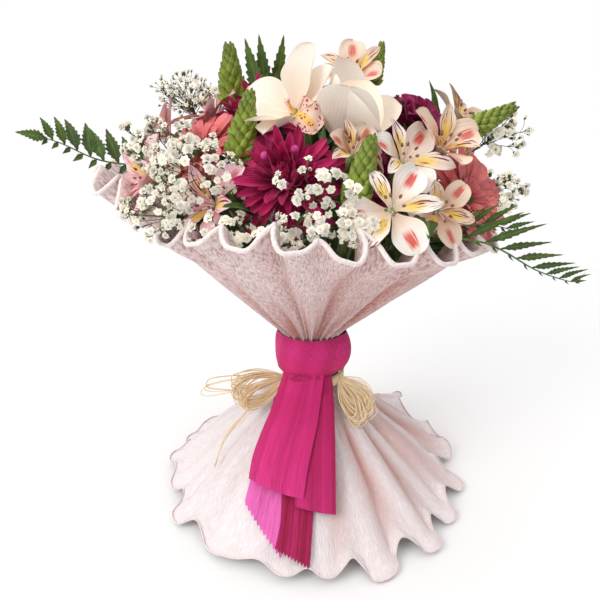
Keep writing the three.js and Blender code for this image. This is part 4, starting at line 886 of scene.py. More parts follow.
    def collar(self, phi: Array, t: Array) -> Array:
        """Gives points of the collar.

        Args:
            phi: places round the sheet, in radians.
            t: how far up, from 0 at the band to 1 at the rim.

        Returns:
            Points of the arrays' common shape.
        """
        theta = self.real_angle(phi)
        (neck_radius, neck_height), (rim_radius, rim_height) = self.neck_high, self.rim_at(theta)
        flute = self.flute(phi, t)
        theta = theta + self.pinch * np.maximum(flute, 0) ** 2 * np.sin(6 * phi + 1)
        radius = neck_radius + (rim_radius - neck_radius) * t**1.04 + np.cos(2 * theta) * (1 - t)
        radius = radius + 5 * self.fold(phi) * np.sin(math.pi * t) ** 0.8 - self.flute_depth * flute
        creases = 11 * self.crease(phi, t, self.collar_seed)
        radius = radius + self.pleat(phi, t) + self.crumple(phi, t) - creases
        points = polar(radius, theta, neck_height + (rim_height - neck_height) * t + self.flute_lift * flute)
        points[..., 0] -= 2 * (1 - t)
        return points

    def skirt_cone(self, t: Array) -> tuple[Array, Array]:
        """Returns the skirt's mean radius and height, from the tie at t = 0 to the hem at 1."""
        (radius, height), (hem_radius, hem_height) = self.neck_low, self.hem
        return radius + (hem_radius - radius) * t, height + (hem_height - height) * t

    def folds_left(self, theta: Array, t: Array) -> Array:
        """Returns the share of its folds that the skirt keeps: the ribbon presses its lane nearly flat."""
        radius = self.skirt_cone(t)[0]
        beside = np.abs(radius * np.cos(theta) - (-8 - 16 * t)) - (30 + 16 * t)
        pressed = smoothstep(-radius * np.sin(theta) / 12) * (1 - smoothstep(beside / 12))
        return 1 + (0.06 - 1) * pressed

    def skirt(self, phi: Array, t: Array) -> Array:
        """Gives points of the skirt, whose lobes stand out and drop, but for the two raised ears.

        Args:
            phi: places round the sheet, in radians.
            t: how far down, from 0 at the raffia to 1 at the hem.

        Returns:
            Points of the arrays' common shape.
        """
        theta = self.real_angle(phi)
        kept = self.folds_left(theta, t)
        uneven = waves(phi, self.hem_growth, 0.98 + 0.32 * np.cos(theta - 0.5))
        grown = uneven * smoothstep((t - self.hem_start) / (1 - self.hem_start)) * (1 + (kept - 1) * 0.5)
        turn = self.hem_flutes * waves(phi, self.hem_drift, phi) + 0.4
        drop, lobe = (0.45 - self.crest(turn)) * grown, -(0.1 + np.cos(turn)) * grown
        theta = theta - self.pinch * np.maximum(lobe + 0.2, 0) * np.sin(turn) * kept
        radius, height = self.skirt_cone(t)
        folds = 4 * kept * self.fold(phi + 0.9) * np.sin(math.pi * t * 0.8) ** 0.8
        radius = radius + folds + self.hem_depth * lobe
        uneven = self.crumple(phi + 1, t) - 7 * self.crease(phi, t, self.skirt_seed)
        radius = radius + self.pleat(phi + 2, t) + uneven * kept
        height = height - self.hem_drop * drop + 5 * smoothstep((t - 0.9) / 0.1)
        for place, lift in self.ears:
            height = height + lift * bell(apart(theta, place), self.ear_width) * smoothstep((t - 0.5) / 0.5)
        return polar(radius, theta, np.maximum(0.3, height))

    def room(self, points: Array, spare: float) -> Array:
        """Moves points that would pierce the collar in towards the axis, until they lie inside it.

        Args:
            points: points of any shape (..., 3).
            spare: how far inside the collar they stay.

        Returns:
            The points, each with its distance from the axis held under the collar's at its own angle and
            height. Above the rim the limit goes on along the cone.
        """
        columns, rows, beside, least, cone = 721, 61, 4, 4, 130
        around, up = np.linspace(0, TURN, columns), np.linspace(0, 1, rows)
        surface = self.collar(*np.meshgrid(around, up))
        reach = np.hypot(surface[..., 0], surface[..., 1])
        theta = np.arctan2(points[..., 1], points[..., 0]) % TURN
        column = np.interp(theta, self.real_angle(around), np.arange(columns), period=TURN)
        column = column.astype(int) % columns
        top = self.rim_at(theta)[1]
        share = np.clip((points[..., 2] - self.neck_high[1]) / (top - self.neck_high[1]), 0, None)
        row = np.clip(share * (rows - 1), 0, rows - 1).astype(int)
        near = np.minimum(reach[row, column - beside], reach[row, (column + beside) % columns])
        most = np.minimum(reach[row, column], near) + cone * np.maximum(share - 1, 0) - spare
        radius = np.maximum(np.hypot(points[..., 0], points[..., 1]), 1e-6)
        inwards = np.minimum(1, np.maximum(most, least) / radius)[..., None]
        return points * np.concatenate([inwards, inwards, np.ones_like(inwards)], -1)

    def lip(self, edge: Array, before: Array, size: float) -> Array:
        """Rolls an edge of the sheet outwards.

        The roll is an arc of `lip_turn` in the plane of the sheet's way out and its outer normal, and
        tightens by 0.3 of its radius.

        Args:
            edge: the last row of points.
            before: the row before it.
            size: the roll's radius at its start.

        Returns:
            The rolled rows, of shape (lip_rows, columns, 3).
        """
        out = unit(edge - before)
        tangent = np.roll(edge, -1, axis=0) - np.roll(edge, 1, axis=0)
        normal = unit(np.cross(tangent, out))
        normal *= np.sign((normal * edge * [1, 1, 0]).sum(-1, keepdims=True).mean())
        angle = np.linspace(0, self.lip_turn, self.lip_rows + 1)[1:, None, None]
        radius = size * (1 - 0.3 * angle / self.lip_turn)
        return edge + radius * (np.sin(angle) * out + (1 - np.cos(angle)) * normal)

    def right_side(self, phi: Array, t: Array) -> Array:
        """Returns the right side's painted shade, away from the light, most halfway from tie to edge."""
        return smoothstep(np.cos(phi + 0.35) * 1.3) * np.sin(math.pi * np.clip(t, 0, 1)) ** 0.6

    def skirt_tone(self, phi: Array, t: Array) -> Array:
        """Returns the skirt's painted shade: its creases and the right side, whose folds are darker still."""
        right = self.right_side(phi, t)
        creases = self.crease(phi, t, self.skirt_seed) * (0.15 + 0.3 * right)
        return creases + 0.5 * right * (0.6 + 0.4 * np.sin(17 * phi))

    def collar_tone(self, phi: Array, t: Array) -> Array:
        """Returns the collar's tone: painted shade in creases, pleats and the right side, and a painted
        reflection of the ribbon near the band.
        """
        # Painted shade in the valleys of the pleats and in the creases.
        valley = np.clip(-self.pleat(phi, t) / 3.6, 0, 1) ** 1.5
        # Painted reflection of the ribbon: uneven smudges just above the band.
        glow = (1 - smoothstep(t / 0.3)) * (0.5 + 0.5 * np.sin(9 * phi + 1.5))
        tone = 0.7 * self.crease(phi, t, self.collar_seed) + 0.95 * valley
        return np.clip(tone + 0.26 * self.right_side(phi, t * 0.9) + 0.4 * glow + 0.04, 0, 0.9)

    def build(self) -> Piece:
        """Returns the wrap's object, one sheet from the hem's lip to the rim's lip."""
        around = np.arange(self.columns) * TURN / self.columns
        down = np.meshgrid(around, np.linspace(1, 0, self.skirt_rows) ** 0.9)
        up = np.meshgrid(around, np.linspace(0, 1, self.collar_rows) ** 0.9)
        skirt, collar = self.skirt(*down), self.collar(*up)
        share = np.linspace(0, 1, self.neck_rows + 2)[1:-1, None, None]
        neck = skirt[-1] + (collar[0] - skirt[-1]) * share
        hem = self.lip(skirt[0], skirt[1], self.lip_radius / 2)[::-1]
        hem[..., 2] = np.maximum(0.2, hem[..., 2])
        rim = self.lip(collar[-1], collar[-2], self.lip_radius)
        # The neck under the band takes painted shade, a tone of 0.6; the rolled lips take none.
        tones = [np.zeros(hem.shape[:2]), self.skirt_tone(*down), np.full(neck.shape[:2], 0.6)]
        tones += [self.collar_tone(*up), np.zeros(rim.shape[:2])]
        grid = np.concatenate([hem, skirt, neck, collar, rim])
        sheaf = Sheaf().add(grid, np.clip(np.concatenate(tones), 0, 1), hoop=True)
        piece = sheaf.build("crepe_paper_sheet", [PAPER], weld=False)
        return hand_in(piece, "paper", "paper_wrap")


@dataclass(frozen=True)
class Strip:
    """A strip of ribbon by its stops: sideways place, height, distance off the skirt, width and slant."""

    name: str
    stops: tuple[tuple[float, float, float, float, float], ...]
    rows: int
    teeth: int = 0
    seed: float = 0.0
    # tone: the strip's own share of painted shade, which Ribbon.shade adds to.
    tone: float = 0.3
    finish: CrepeFinish = RIBBON


STRIPS = (
    Strip(
        "ribbon_long_loop",
        (
            (-9, 125, 5, 36, 0), (-10, 119, 9.2, 36, 0), (-11.8, 111, 12, 37.5, 0), (-15.5, 98, 13.8, 40, 0),
            (-21, 80, 15, 43.5, 0), (-29, 60, 15.4, 46, 1),
            (-32, 48.5, 13.8, 46, 2), (-32.3, 45.6, 11.2, 46, 2), (-32, 48.5, 8.6, 45, 2),
            (-29, 60, 7.2, 43, 1), (-18, 92, 7, 36, 0), (-9, 121, 5.6, 30, 0),
        ),
        120, seed=1.0, tone=0.12,
    ),
    Strip(
        "ribbon_side_loop",
        (
            (4, 124, 3.9, 22, 0), (5, 110, 8.6, 25, 0), (2, 74, 11.5, 31, 0), (0, 44, 10.6, 33, 2),
            (0, 38.4, 8.6, 33, 2), (0, 38.4, 6.6, 33, 2), (0, 44, 5.4, 31, 2), (2, 90, 5.2, 24, 0),
            (3, 121, 5, 20, 0),
        ),
        100, seed=2.3, tone=0.45,
    ),
    Strip(
        "ribbon_left_tail",
        ((-12, 121, 4.6, 28, 0), (-25, 84, 2.4, 31, 0), (-36, 50, 2.8, 32, 5), (-43, 24, 4.8, 32, 11)),
        70, teeth=12, seed=3.1, tone=0.1, finish=LIT_RIBBON,
    ),
    Strip(
        "ribbon_middle_tail",
        ((-4, 121, 4.8, 24, 0), (-12, 70, 4, 27, 0), (-16, 34, 4, 28, 1), (-19, 14, 6, 28, 4)),
        70, teeth=11, seed=4.7, tone=0.85,
    ),
)


@dataclass
class Ribbon:
    """The magenta crepe ribbon: a band round the neck, two hanging loops and two tails cut in zigzags."""

    lanes: int = 25
    tooth: float = 1.6
    band_z: Span = (123.4, 157.0)
    band_centre: float = -2.0
    band_half: Span = (32.0, 29.7)
    band_cut: Span = (0.046, 0.20)
    band_steps: int = 300
    band_rows: int = 26
    gather_z: float = 120.0
    knot_at: Place = (-7.0, -29.8, 121.0)
    knot_half: Place = (15.0, 2.6, 2.6)

    def on_skirt(self, x: Array, z: Array, off: Array) -> Array:
        """Gives points that stand off the skirt's mean cone, or off the front of the neck above it.

        Args:
            x: how far to the right each point is.
            z: how high it is, before it moves off.
            off: how far it stands off, square to the cone.

        Returns:
            Points of the arrays' common shape.
        """
        wrap = PaperWrap()
        (neck_radius, neck_height), (hem_radius, hem_height) = wrap.neck_low, wrap.hem
        t = np.clip((neck_height - z) / (neck_height - hem_height), 0, 1)
        lean = math.atan2(hem_radius - neck_radius, neck_height - hem_height) * smoothstep(t * 2.8)
        radius = wrap.skirt_cone(t)[0] + off * np.cos(lean)
        across = np.minimum(np.abs(x), 0.95 * radius)
        return np.stack([x, -np.sqrt(radius**2 - across**2), z + off * np.sin(lean)], -1)

    def strip(self, shape: Strip) -> Array:
        """Drapes a strip: its stops are splined along it, and its edges stand at v = +-1.

        Off the skirt it waves by 0.45 sin(4.5v + 2s) + 0.08 sin(17v + 4s), takes pleats sin(13v) and
        sin(23v) near the gather, and its edges curl in away from it. A cut end's teeth are a triangle
        wave of v, taken off the length of the last rows.

        Args:
            shape: the strip.

        Returns:
            A grid of points, of shape (rows, lanes, 3).
        """
        v = np.linspace(-1, 1, max(self.lanes, shape.teeth * 6 + 1))
        fine = spline(np.array(shape.stops), shape.rows * 4)
        s = np.linspace(0, 1, shape.rows)[:, None]
        if shape.teeth:
            length = np.linalg.norm(np.diff(fine[:, :2], axis=0), axis=1).sum()
            saw = np.abs((v + 1) / 2 * shape.teeth % 1 * 2 - 1)
            s = s * (1 - saw[None, :] * self.tooth * 1.4 / length * s**24)
        s = np.broadcast_to(s, (shape.rows, len(v)))
        place = s * (len(fine) - 1)
        whole = np.minimum(place.astype(int), len(fine) - 2)
        part = (place - whole)[..., None]
        x, z, off, width, slant = np.moveaxis(fine[whole] * (1 - part) + fine[whole + 1] * part, -1, 0)
        near_gather = bell(z - self.gather_z, 15)
        ripple = 0.45 * np.sin(4.5 * v + shape.seed + 2 * s) + 0.08 * np.sin(17 * v + 4 * s + shape.seed)
        pleats = 0.6 * np.sin(13 * v + shape.seed) + 0.35 * np.sin(23 * v + 2 * shape.seed)
        curl = 1.2 * smoothstep((np.abs(v) - 0.75) / 0.25) * (1 - near_gather)
        return self.on_skirt(x + v * width / 2, z - slant * v, off + ripple + pleats * near_gather - curl)

    def shade(self, shape: Strip, rows: int, lanes: int) -> Array:
        """Returns a strip's tone: its own share of painted shade, long streaks from three sines across it,
        and painted shade that is darkest under the band and changes along the strip by cos 4s.
        """
        v, s = np.linspace(-1, 1, lanes)[None, :], np.linspace(0, 1, rows)[:, None]
        streaks = 0.14 * np.sin(6 * v + shape.seed) + 0.1 * np.sin(17 * v + 2 * shape.seed + s)
        streaks = streaks + 0.08 * np.sin(31 * v)
        # Painted shade: darkest just under the band, and along the strip by 0.08 cos 4s.
        return np.clip(shape.tone + streaks + 0.2 * np.exp(-s / 0.04) + 0.08 * np.cos(4 * s), 0, 1)

    def band(self) -> Array:
        """Gives the band: an oval hoop with rolled edges, soft creases and a fold that swells on its right.

        The creases fan out from the gather at the lower front left, 4.5 radians round. The fold swells by
        a bell of the angle round -0.35, and is fullest at the middle of the band's height.

        Returns:
            A grid of points, of shape (band_rows, band_steps, 3).
        """
        angle = np.linspace(0, TURN, self.band_steps, endpoint=False)[None, :]
        t = np.linspace(0, 1, self.band_rows)[:, None]
        roll = -1.1 * np.cos(math.pi * t) ** 12
        front = (angle - 4.45 + 1.7 * (t - 0.2)) % TURN
        fan = 0.5 * np.sin(16 * front) * bell(angle - 4.5, 0.7) * (1 - t) ** 1.5
        crease = 0.25 * np.sin(9 * angle - 2.5 * t + 1) + fan
        fold = 4.6 * bell(apart(angle, -0.35), 0.42) * np.sin(math.pi * (0.12 + 0.8 * t))
        grow = 0.8 * (1 - t) + 0.9 * np.sin(math.pi * t) + roll + crease + fold
        low, high = self.band_z
        x = self.band_centre + (self.band_half[0] + grow) * np.cos(angle)
        y = (self.band_half[1] + grow) * np.sin(angle)
        sag = 1.6 * np.sin(angle + 0.6) * (1 - t)
        return np.stack(np.broadcast_arrays(x, y, low + (high - low) * t + sag), -1)

    def knot(self) -> Array:
        """Returns the gathered knot under the band: a flat ball, ribbed by sin(11 a) and sin(7 a + 2)."""
        angle = np.linspace(0, TURN, 60, endpoint=False)[None, :]
        turn = np.linspace(0, math.pi, 20)[:, None]
        swell = np.sin(turn) * (1 + 0.05 * np.sin(11 * angle) + 0.04 * np.sin(7 * angle + 2))
        ball = np.broadcast_arrays(swell * np.cos(angle), np.cos(turn), swell * np.sin(angle))
        return np.stack(ball, -1) * self.knot_half + self.knot_at

    def build(self) -> None:
        """Makes the band, the knot, the loops and the tails."""
        angle = np.linspace(0, TURN, self.band_steps, endpoint=False)
        angle, t = np.meshgrid(angle, np.linspace(0, 1, self.band_rows))
        # Painted shade on the band: beside its creases and towards its rolled edges.
        tone = 0.15 + 0.12 * np.sin(9 * angle - 2.5 * t) + 0.3 * (1 - np.sin(math.pi * t)) ** 3
        sheaf = Sheaf().add(self.band(), np.clip(tone, 0, 1), hoop=True)
        band = sheaf.build("ribbon_neck_band", [BAND_RIBBON], weld=False)
        hand_in(band, "ribbon", "ribbon_band")
        for shape in STRIPS:
            grid = self.strip(shape)
            sheaf = Sheaf().add(grid, self.shade(shape, *grid.shape[:2]))
            piece = sheaf.build(shape.name, [shape.finish], weld=False)
            hand_in(piece, "ribbon", "ribbon_bow")
        hand_in(Sheaf().add(self.knot(), hoop=True).build("ribbon_knot", [RIBBON]), "ribbon", "ribbon_bow")


@dataclass
class Tie:
    """The raffia tie with its loops and ends, and the twine that binds the stems inside.

    LOOPS holds a bunch of loops a line: where it leaves the ring, its tip, its half width and its count.
    ENDS holds where a pair of loose ends leaves the ring, and the places that it passes.
    """

    wraps: int = 30
    strands: tuple[float, float, float] = (0.8, 0.5, 0.6)
    seed: int = 5
    low: float = 110.3
    high: float = 117.4
    inner: float = 26.6
    outer: float = 28.6
    ring_radius: float = 27.3
    loop_height: float = 114.0
    end_height: float = 113.0
    twine_radius: float = 19.9
    twine_turns: int = 5
    twine_z: Span = (112.4, 116.6)

    LOOPS = (
        (208, (-68, -30, 106), 10, 15), (208, (-60, -34, 98), 7, 12), (208, (-72, -26, 112), 6, 8),
        (208, (-96, -26, 108), 4, 3), (324, (48, -32, 98), 8, 13), (324, (46, -38, 91), 9, 15),
        (324, (39, -45, 88), 7, 12),
    )
    ENDS = (
        (208, ((-52, -28, 96), (-79, -40, 68), (-90, -50, 41))),
        (208, ((-52, -30, 98), (-70, -40, 80), (-84, -46, 62))),
        (324, ((42, -30, 106), (58, -36, 93))),
    )

    def ring(self, rng: np.random.Generator) -> Array:
        """Gives the strands that go round the neck, each a hoop and a bit that wanders up and down."""
        turn = np.linspace(0, 1, 70)[None, :]
        start, wander, radius = rng.random((3, self.wraps, 1))
        angle = np.radians(360 * start + 380 * turn)
        middle = self.low + (self.high - self.low) * wander
        z = middle + 0.7 * np.sin(angle * 2 + 9 * wander)
        reach = self.inner + (self.outer - self.inner) * radius + 0.2 * np.sin(angle * 3 + 5 * radius)
        return polar(reach, angle, z)

    def loops(self, rng: np.random.Generator) -> Array:
        """Gives the bow's loops: each leaves the ring, swells out to its tip and comes back beside itself."""
        paths = []
        for azimuth, tip, swell, count in self.LOOPS:
            start = towards(azimuth) * self.ring_radius + UP * self.loop_height
            ends = np.array(tip) + rng.normal(0, 1, (count, 3)) * [3.2, 2.0, 2.4]
            sideways = unit(np.cross(ends - start, [0.0, -1.0, 0.4]))
            sideways = sideways * (swell + rng.normal(0, 1.2, (count, 1)))
            shares = [(0, 0), (0.55, 1), (0.95, 0.7), (1.02, 0), (0.95, -0.6), (0.55, -1), (0, -0.25)]
            stops = [start + (ends - start) * along + sideways * side for along, side in shares]
            stops = np.stack(stops, 1) + rng.normal(0, 0.6, (count, len(shares), 3)) * [1, 0.6, 1]
            stops[:, [0, -1]] = start + rng.normal(0, 0.8, (count, 2, 3)) * [0.4, 0.4, 1]
            paths.append(spline(stops, 44))
        return np.concatenate(paths)

    def ends(self, rng: np.random.Generator) -> Array:
        """Gives the loose ends, two thin strands to each."""
        paths = []
        for azimuth, stops in self.ENDS:
            start = towards(azimuth) * self.ring_radius + UP * self.end_height
            path = np.concatenate([[start], np.array(stops, float)])
            paths.append(spline(path[None] + rng.normal(0, 0.5, (2, len(path), 3)) * [1, 0.5, 1], 44))
        return np.concatenate(paths)

    def build(self) -> None:
        """Makes the raffia bow and the twine."""
        rng = np.random.default_rng(self.seed)
        sheaf = Sheaf()
        bunches = (self.ring(rng), self.loops(rng), self.ends(rng))
        for paths, width in zip(bunches, self.strands):
            radii = np.sqrt(np.clip(1 - np.linspace(-1, 1, paths.shape[1]) ** 30, 0, 1)) * width
            sheaf.add(tubes(paths, radii, 6, 0.55), tone=rng.random(len(paths)), hoop=True)
        hand_in(sheaf.build("raffia_tie", [RAFFIA]), "raffia", "raffia_bow")
        turn, (low, high) = np.linspace(0, 1, 240), self.twine_z
        path = polar(self.twine_radius, turn * self.twine_turns * TURN, low + (high - low) * turn)[None]
        sheaf = Sheaf().add(tubes(path, ends_closed(240, 0.45), 6), hoop=True)
        hand_in(sheaf.build("binding_twine_turns", [STRING]), "string", "binding_string")


@dataclass(frozen=True)
class Outline:
    """A petal's width along it, (root + (1 - root) smooth(u / shoulder)) (1 - u^fullness)^blunt."""

    root: float
    shoulder: float
    fullness: float
    blunt: float

    def half(self, u: Array) -> Array:
        """Returns the half width at u as a share of the widest."""
        grown = self.root + (1 - self.root) * smoothstep(u / self.shoulder)
        return grown * np.clip(1 - u**self.fullness, 0, 1) ** self.blunt


class Outlines(Enum):
    """The outlines of this bouquet's petals and leaves."""

    LILY_BROAD = Outline(0.2, 0.6, 5.0, 0.55)
    LILY_NARROW = Outline(0.2, 0.65, 4.0, 0.75)
    ORCHID = Outline(0.34, 0.5, 4.5, 0.5)
    LIP = Outline(0.5, 0.4, 6.0, 0.5)
    STRAP = Outline(0.5, 0.55, 5.0, 0.6)
    RAY = Outline(0.35, 0.55, 9.0, 0.5)
    FAN = Outline(0.14, 1.0, 40.0, 0.3)
    LEAF = Outline(0.08, 0.4, 1.7, 1.0)
    FLORET = Outline(0.4, 0.6, 3.0, 0.5)


@dataclass(frozen=True)
class Whorl:
    """A whorl of petals. Each leaves the bloom's axis at `root` (out, up), rises at `rise` degrees, turns
    down by `bend` degrees on its way, and is curved across by `cup` degrees to either side. `jitter` times
    the class's spreads is how much petals differ."""

    FLATTEST = 0.02
    count: int
    length: float
    width: float
    rise: float
    bend: float
    outline: Outlines
    turn: float = 0.0
    cup: float = 25.0
    root: Span = (2.0, 0.0)
    twist: float = 0.0
    ripple: float = 0.0
    ripples: float = 2.0
    groove: float = 0.0
    saw: int = 0
    kind: float = 0.0
    rows: int = 12
    lanes: int = 6
    jitter: float = 1.0

    def grids(self, rng: np.random.Generator) -> Array:
        """Works out the petals as functions of u along and v across.

        The middle line is an arc: x = out + L (sin rise - sin a) / bend and z = up + L (cos a - cos rise)
        / bend with a = rise - bend u. Across, it is an arc of +-cup at the outline's half width h, so
        y = h sin(cup v) / cup and lift = h (1 - cos(cup v)) / cup, plus a ripple along the edges and a
        groove at the midrib, and that cross-section is twisted about the middle line.

        Args:
            rng: the run of numbers that sets one petal apart from the next.

        Returns:
            Points of shape (count, rows, lanes + 1, 3) in the bloom's own frame.
        """

        def drawn(value: float, spread: float) -> Array:
            """Returns the value for each petal, with its own share of the spread."""
            return value + rng.normal(0, 1, (self.count, 1, 1)) * spread * self.jitter

        u = (1 - (1 - np.linspace(0, 1, self.rows)) ** 1.35)[None, :, None]
        v = np.linspace(-1, 1, self.lanes + 1)[None, None, :]
        azimuth = np.arange(self.count) * TURN / self.count + math.radians(self.turn)
        azimuth = azimuth[:, None, None] + np.radians(drawn(0, 2.5))
        length, half = drawn(self.length, 0.045 * self.length), drawn(self.width, 0.05 * self.width) / 2
        rise, bend = np.radians(drawn(self.rise, 3.5)), np.radians(drawn(self.bend, 5.0))
        bend = np.where(np.abs(bend) < self.FLATTEST, self.FLATTEST, bend)
        cup = np.radians(drawn(self.cup, 3.0))
        cup = np.where(np.abs(cup) < self.FLATTEST, self.FLATTEST, cup)
        if self.saw:
            u = u * (1 - 0.07 * np.abs((v + 1) / 2 * self.saw % 1 * 2 - 1) * smoothstep((u - 0.6) / 0.4))
        half = half * self.outline.value.half(u)
        angle = rise - bend * u
        y = half * np.sin(cup * v) / cup
        lift = half * (1 - np.cos(cup * v)) / cup
        turn = TURN * self.ripples * (u + 0.15 * v) + drawn(0, 3.0)
        lift = lift + self.ripple * np.sin(turn) * v**2 * smoothstep(u * 1.6)
        lift = lift - self.groove * bell(v, 0.25) * np.sin(math.pi * np.clip(u, 0, 1))
        twist = np.radians(drawn(self.twist, 5.0)) * u
        y, lift = y * np.cos(twist) - lift * np.sin(twist), y * np.sin(twist) + lift * np.cos(twist)
        x = self.root[0] + length * (np.sin(rise) - np.sin(angle)) / bend - np.sin(angle) * lift
        z = self.root[1] + length * (np.cos(angle) - np.cos(rise)) / bend + np.cos(angle) * lift
        cosine, sine = np.cos(azimuth), np.sin(azimuth)
        return np.stack([x * cosine - y * sine, x * sine + y * cosine, z], -1)


def turned(profile: Sequence[Span], rows: int, sides: int) -> Array:
    """Turns a smooth profile of (radius, height) about +Z into one grid of shape (rows, sides, 3)."""
    radius, height = np.moveaxis(spline(np.array(profile, float), rows), -1, 0)
    return polar(np.maximum(radius, 0)[:, None], np.arange(sides) * TURN / sides, height[:, None])


@dataclass(frozen=True)
class Bloom:
    """A bloom at its place, with +Z of its own frame along the way that it faces.

    LAYERS holds a whorl a line, from the outside in: count, share of the length, width, added rise, bend,
    turn and root. PETAL holds what the whorls share.
    """

    LAYERS = ()
    PETAL = Whorl(1, 1, 1, 0, 0, Outlines.STRAP)
    spot: str
    at: Place
    face: Span
    roll: float = 0.0
    length: float = 30.0
    rise: float = 0.0
    slot: str = "blush"
    petal: Finish = WHITE_LILY
    others: tuple[Finish, ...] = (STEM,)

    @property
    def node(self) -> str:
        """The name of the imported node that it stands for."""
        return f"{type(self).__name__.lower()}_{self.spot}"

    def place(self, grids: Array) -> Array:
        """Returns grids of the bloom's own frame at its place in the part."""
        turn = turns_to(towards(*self.face)) @ turn_about_z(self.roll)
        return grids @ turn.T + np.array(self.at)

    def whorls(self) -> list[Whorl]:
        """Returns the whorls of petals, from the outside in."""
        return [
            replace(
                self.PETAL, count=count, length=self.length * share, width=width, rise=self.rise + rise,
                bend=bend, turn=turn, root=root,
            )
            for count, share, width, rise, bend, turn, root in self.LAYERS
        ]

    def extras(self, sheaf: Sheaf, rng: np.random.Generator) -> None:
        """Adds what isn't a petal, such as stamens and the green cup below."""
        raise NotImplementedError

    def build(self) -> Piece:
        """Returns the bloom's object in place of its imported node."""
        rng, sheaf = own_rng(self.node), Sheaf()
        for whorl in self.whorls():
            grids = self.place(whorl.grids(rng))
            sheaf.add(grids, tone=rng.random(len(grids)), kind=whorl.kind)
        self.extras(sheaf, rng)
        return hand_in(sheaf.build(f"{self.node}_bloom", [self.petal, *self.others]), self.slot, self.node)

    def cup(self, sheaf: Sheaf, radius: float, depth: float, slot: int) -> None:
        """Adds the green cup under the petals, from the stem's thickness up to `radius`."""
        foot = [(0, -depth), (1.9, -depth), (2.2, -depth * 0.75)]
        profile = foot + [(radius, -depth * 0.25), (radius * 0.7, 1.5), (0, 2.5)]
        sheaf.add(self.place(turned(profile, 14, 12)), tone=0.7, slot=slot, hoop=True)


@dataclass(frozen=True)
class Alstroemeria(Bloom):
    """A Peruvian lily: three broad tepals, three narrow marked ones, six stamens and a green cup."""

    rise: float = 38.0
    others: tuple[Finish, ...] = (IVORY, ANTHER, STEM)

    def whorls(self) -> list[Whorl]:
        """Returns the broad whorl and the narrow one, whose tepals stand steeper."""
        long, wide, slim = (self.length * share for share in (1.04, 0.84, 0.5))
        broad = Whorl(
            3, long, wide, self.rise, 40, Outlines.LILY_BROAD, turn=30, cup=38, ripple=0.9, ripples=1.6,
            groove=0.6, rows=18, lanes=12, jitter=1.8, twist=6,
        )
        narrow = Whorl(
            3, long, slim, self.rise + 10, 40, Outlines.LILY_NARROW, turn=90, cup=34, root=(1.5, 1.5),
            ripple=0.5, groove=0.3, kind=1.0, rows=18, lanes=10, jitter=1.8, twist=8,
        )
        return [broad, narrow]

    def extras(self, sheaf: Sheaf, rng: np.random.Generator) -> None:
        """Adds stamens that curve up from the throat to dark anthers, and the green cup."""
        out = towards(np.arange(6) * 60 + rng.normal(0, 8, 6))
        steps = np.linspace(0, 1, 9)[None, :, None]
        reach = (10 + rng.normal(0, 1.5, 6))[:, None, None]
        path = out[:, None] * (1.2 + 4.5 * steps**1.6) + UP * (2 + reach * steps)
        sheaf.add(self.place(tubes(path, np.full(9, 0.34), 5)), tone=0.6, slot=1, hoop=True)
        tips = path[:, -1:] + unit(path[:, -1:] - path[:, -2:-1]) * np.linspace(-1.2, 2.4, 6)[None, :, None]
        anthers = tubes(tips, np.array([0, 0.8, 1.0, 0.95, 0.7, 0]), 6)
        sheaf.add(self.place(anthers), tone=0.4, slot=2, hoop=True)
        self.cup(sheaf, 3.6, 14, 3)


@dataclass(frozen=True)
class Cymbidium(Bloom):
    """A white boat orchid: five broad waxy tepals, a dotted hanging lip and an arched column."""

    bend: float = 10.0
    wide: float = 1.0
    slot: str = "ivory"
    petal: Finish = IVORY
    others: tuple[Finish, ...] = (LIP, STEM)

    def whorls(self) -> list[Whorl]:
        """Returns the three outer tepals and, nearer the front, the two broader inner ones."""
        outer = Whorl(
            3, self.length * 1.04, self.length * 0.72 * self.wide, self.rise - 5, self.bend, Outlines.ORCHID,
            turn=90, cup=44, root=(3, 0), twist=10, ripple=1.6, ripples=1.2, groove=0.8, rows=26, lanes=16,
            jitter=1.8,
        )
        wide, rise = self.length * 0.84 * self.wide, self.rise + 6
        inner = replace(
            outer, count=2, length=self.length, width=wide, rise=rise, turn=8, cup=48, root=(3, 1.5)
        )
        return [outer, inner]

    def extras(self, sheaf: Sheaf, rng: np.random.Generator) -> None:
        """Adds the lip with its upturned sides, the column over it and the green cup."""
        lip = Whorl(
            1, self.length * 0.74, 26, 48, 112, Outlines.LIP, turn=270, cup=66, root=(1, 0), ripple=1.8,
            ripples=3.0, rows=24, lanes=16, jitter=0.2,
        )
        sheaf.add(self.place(lip.grids(rng)), slot=1)
        column = spline(np.array([(0, 0, 0), (0, 1, 8), (0, -1.5, 14), (0, -5, 17)], float), 14)[None]
        radii = np.interp(np.linspace(0, 1, 14), [0, 0.05, 0.5, 0.85, 0.95, 1], [0, 2.6, 2.1, 2.4, 1.8, 0])
        sheaf.add(self.place(tubes(column, radii, 12, 0.8)), slot=1, tone=0.8, hoop=True)
        self.cup(sheaf, 4.0, 12, 2)


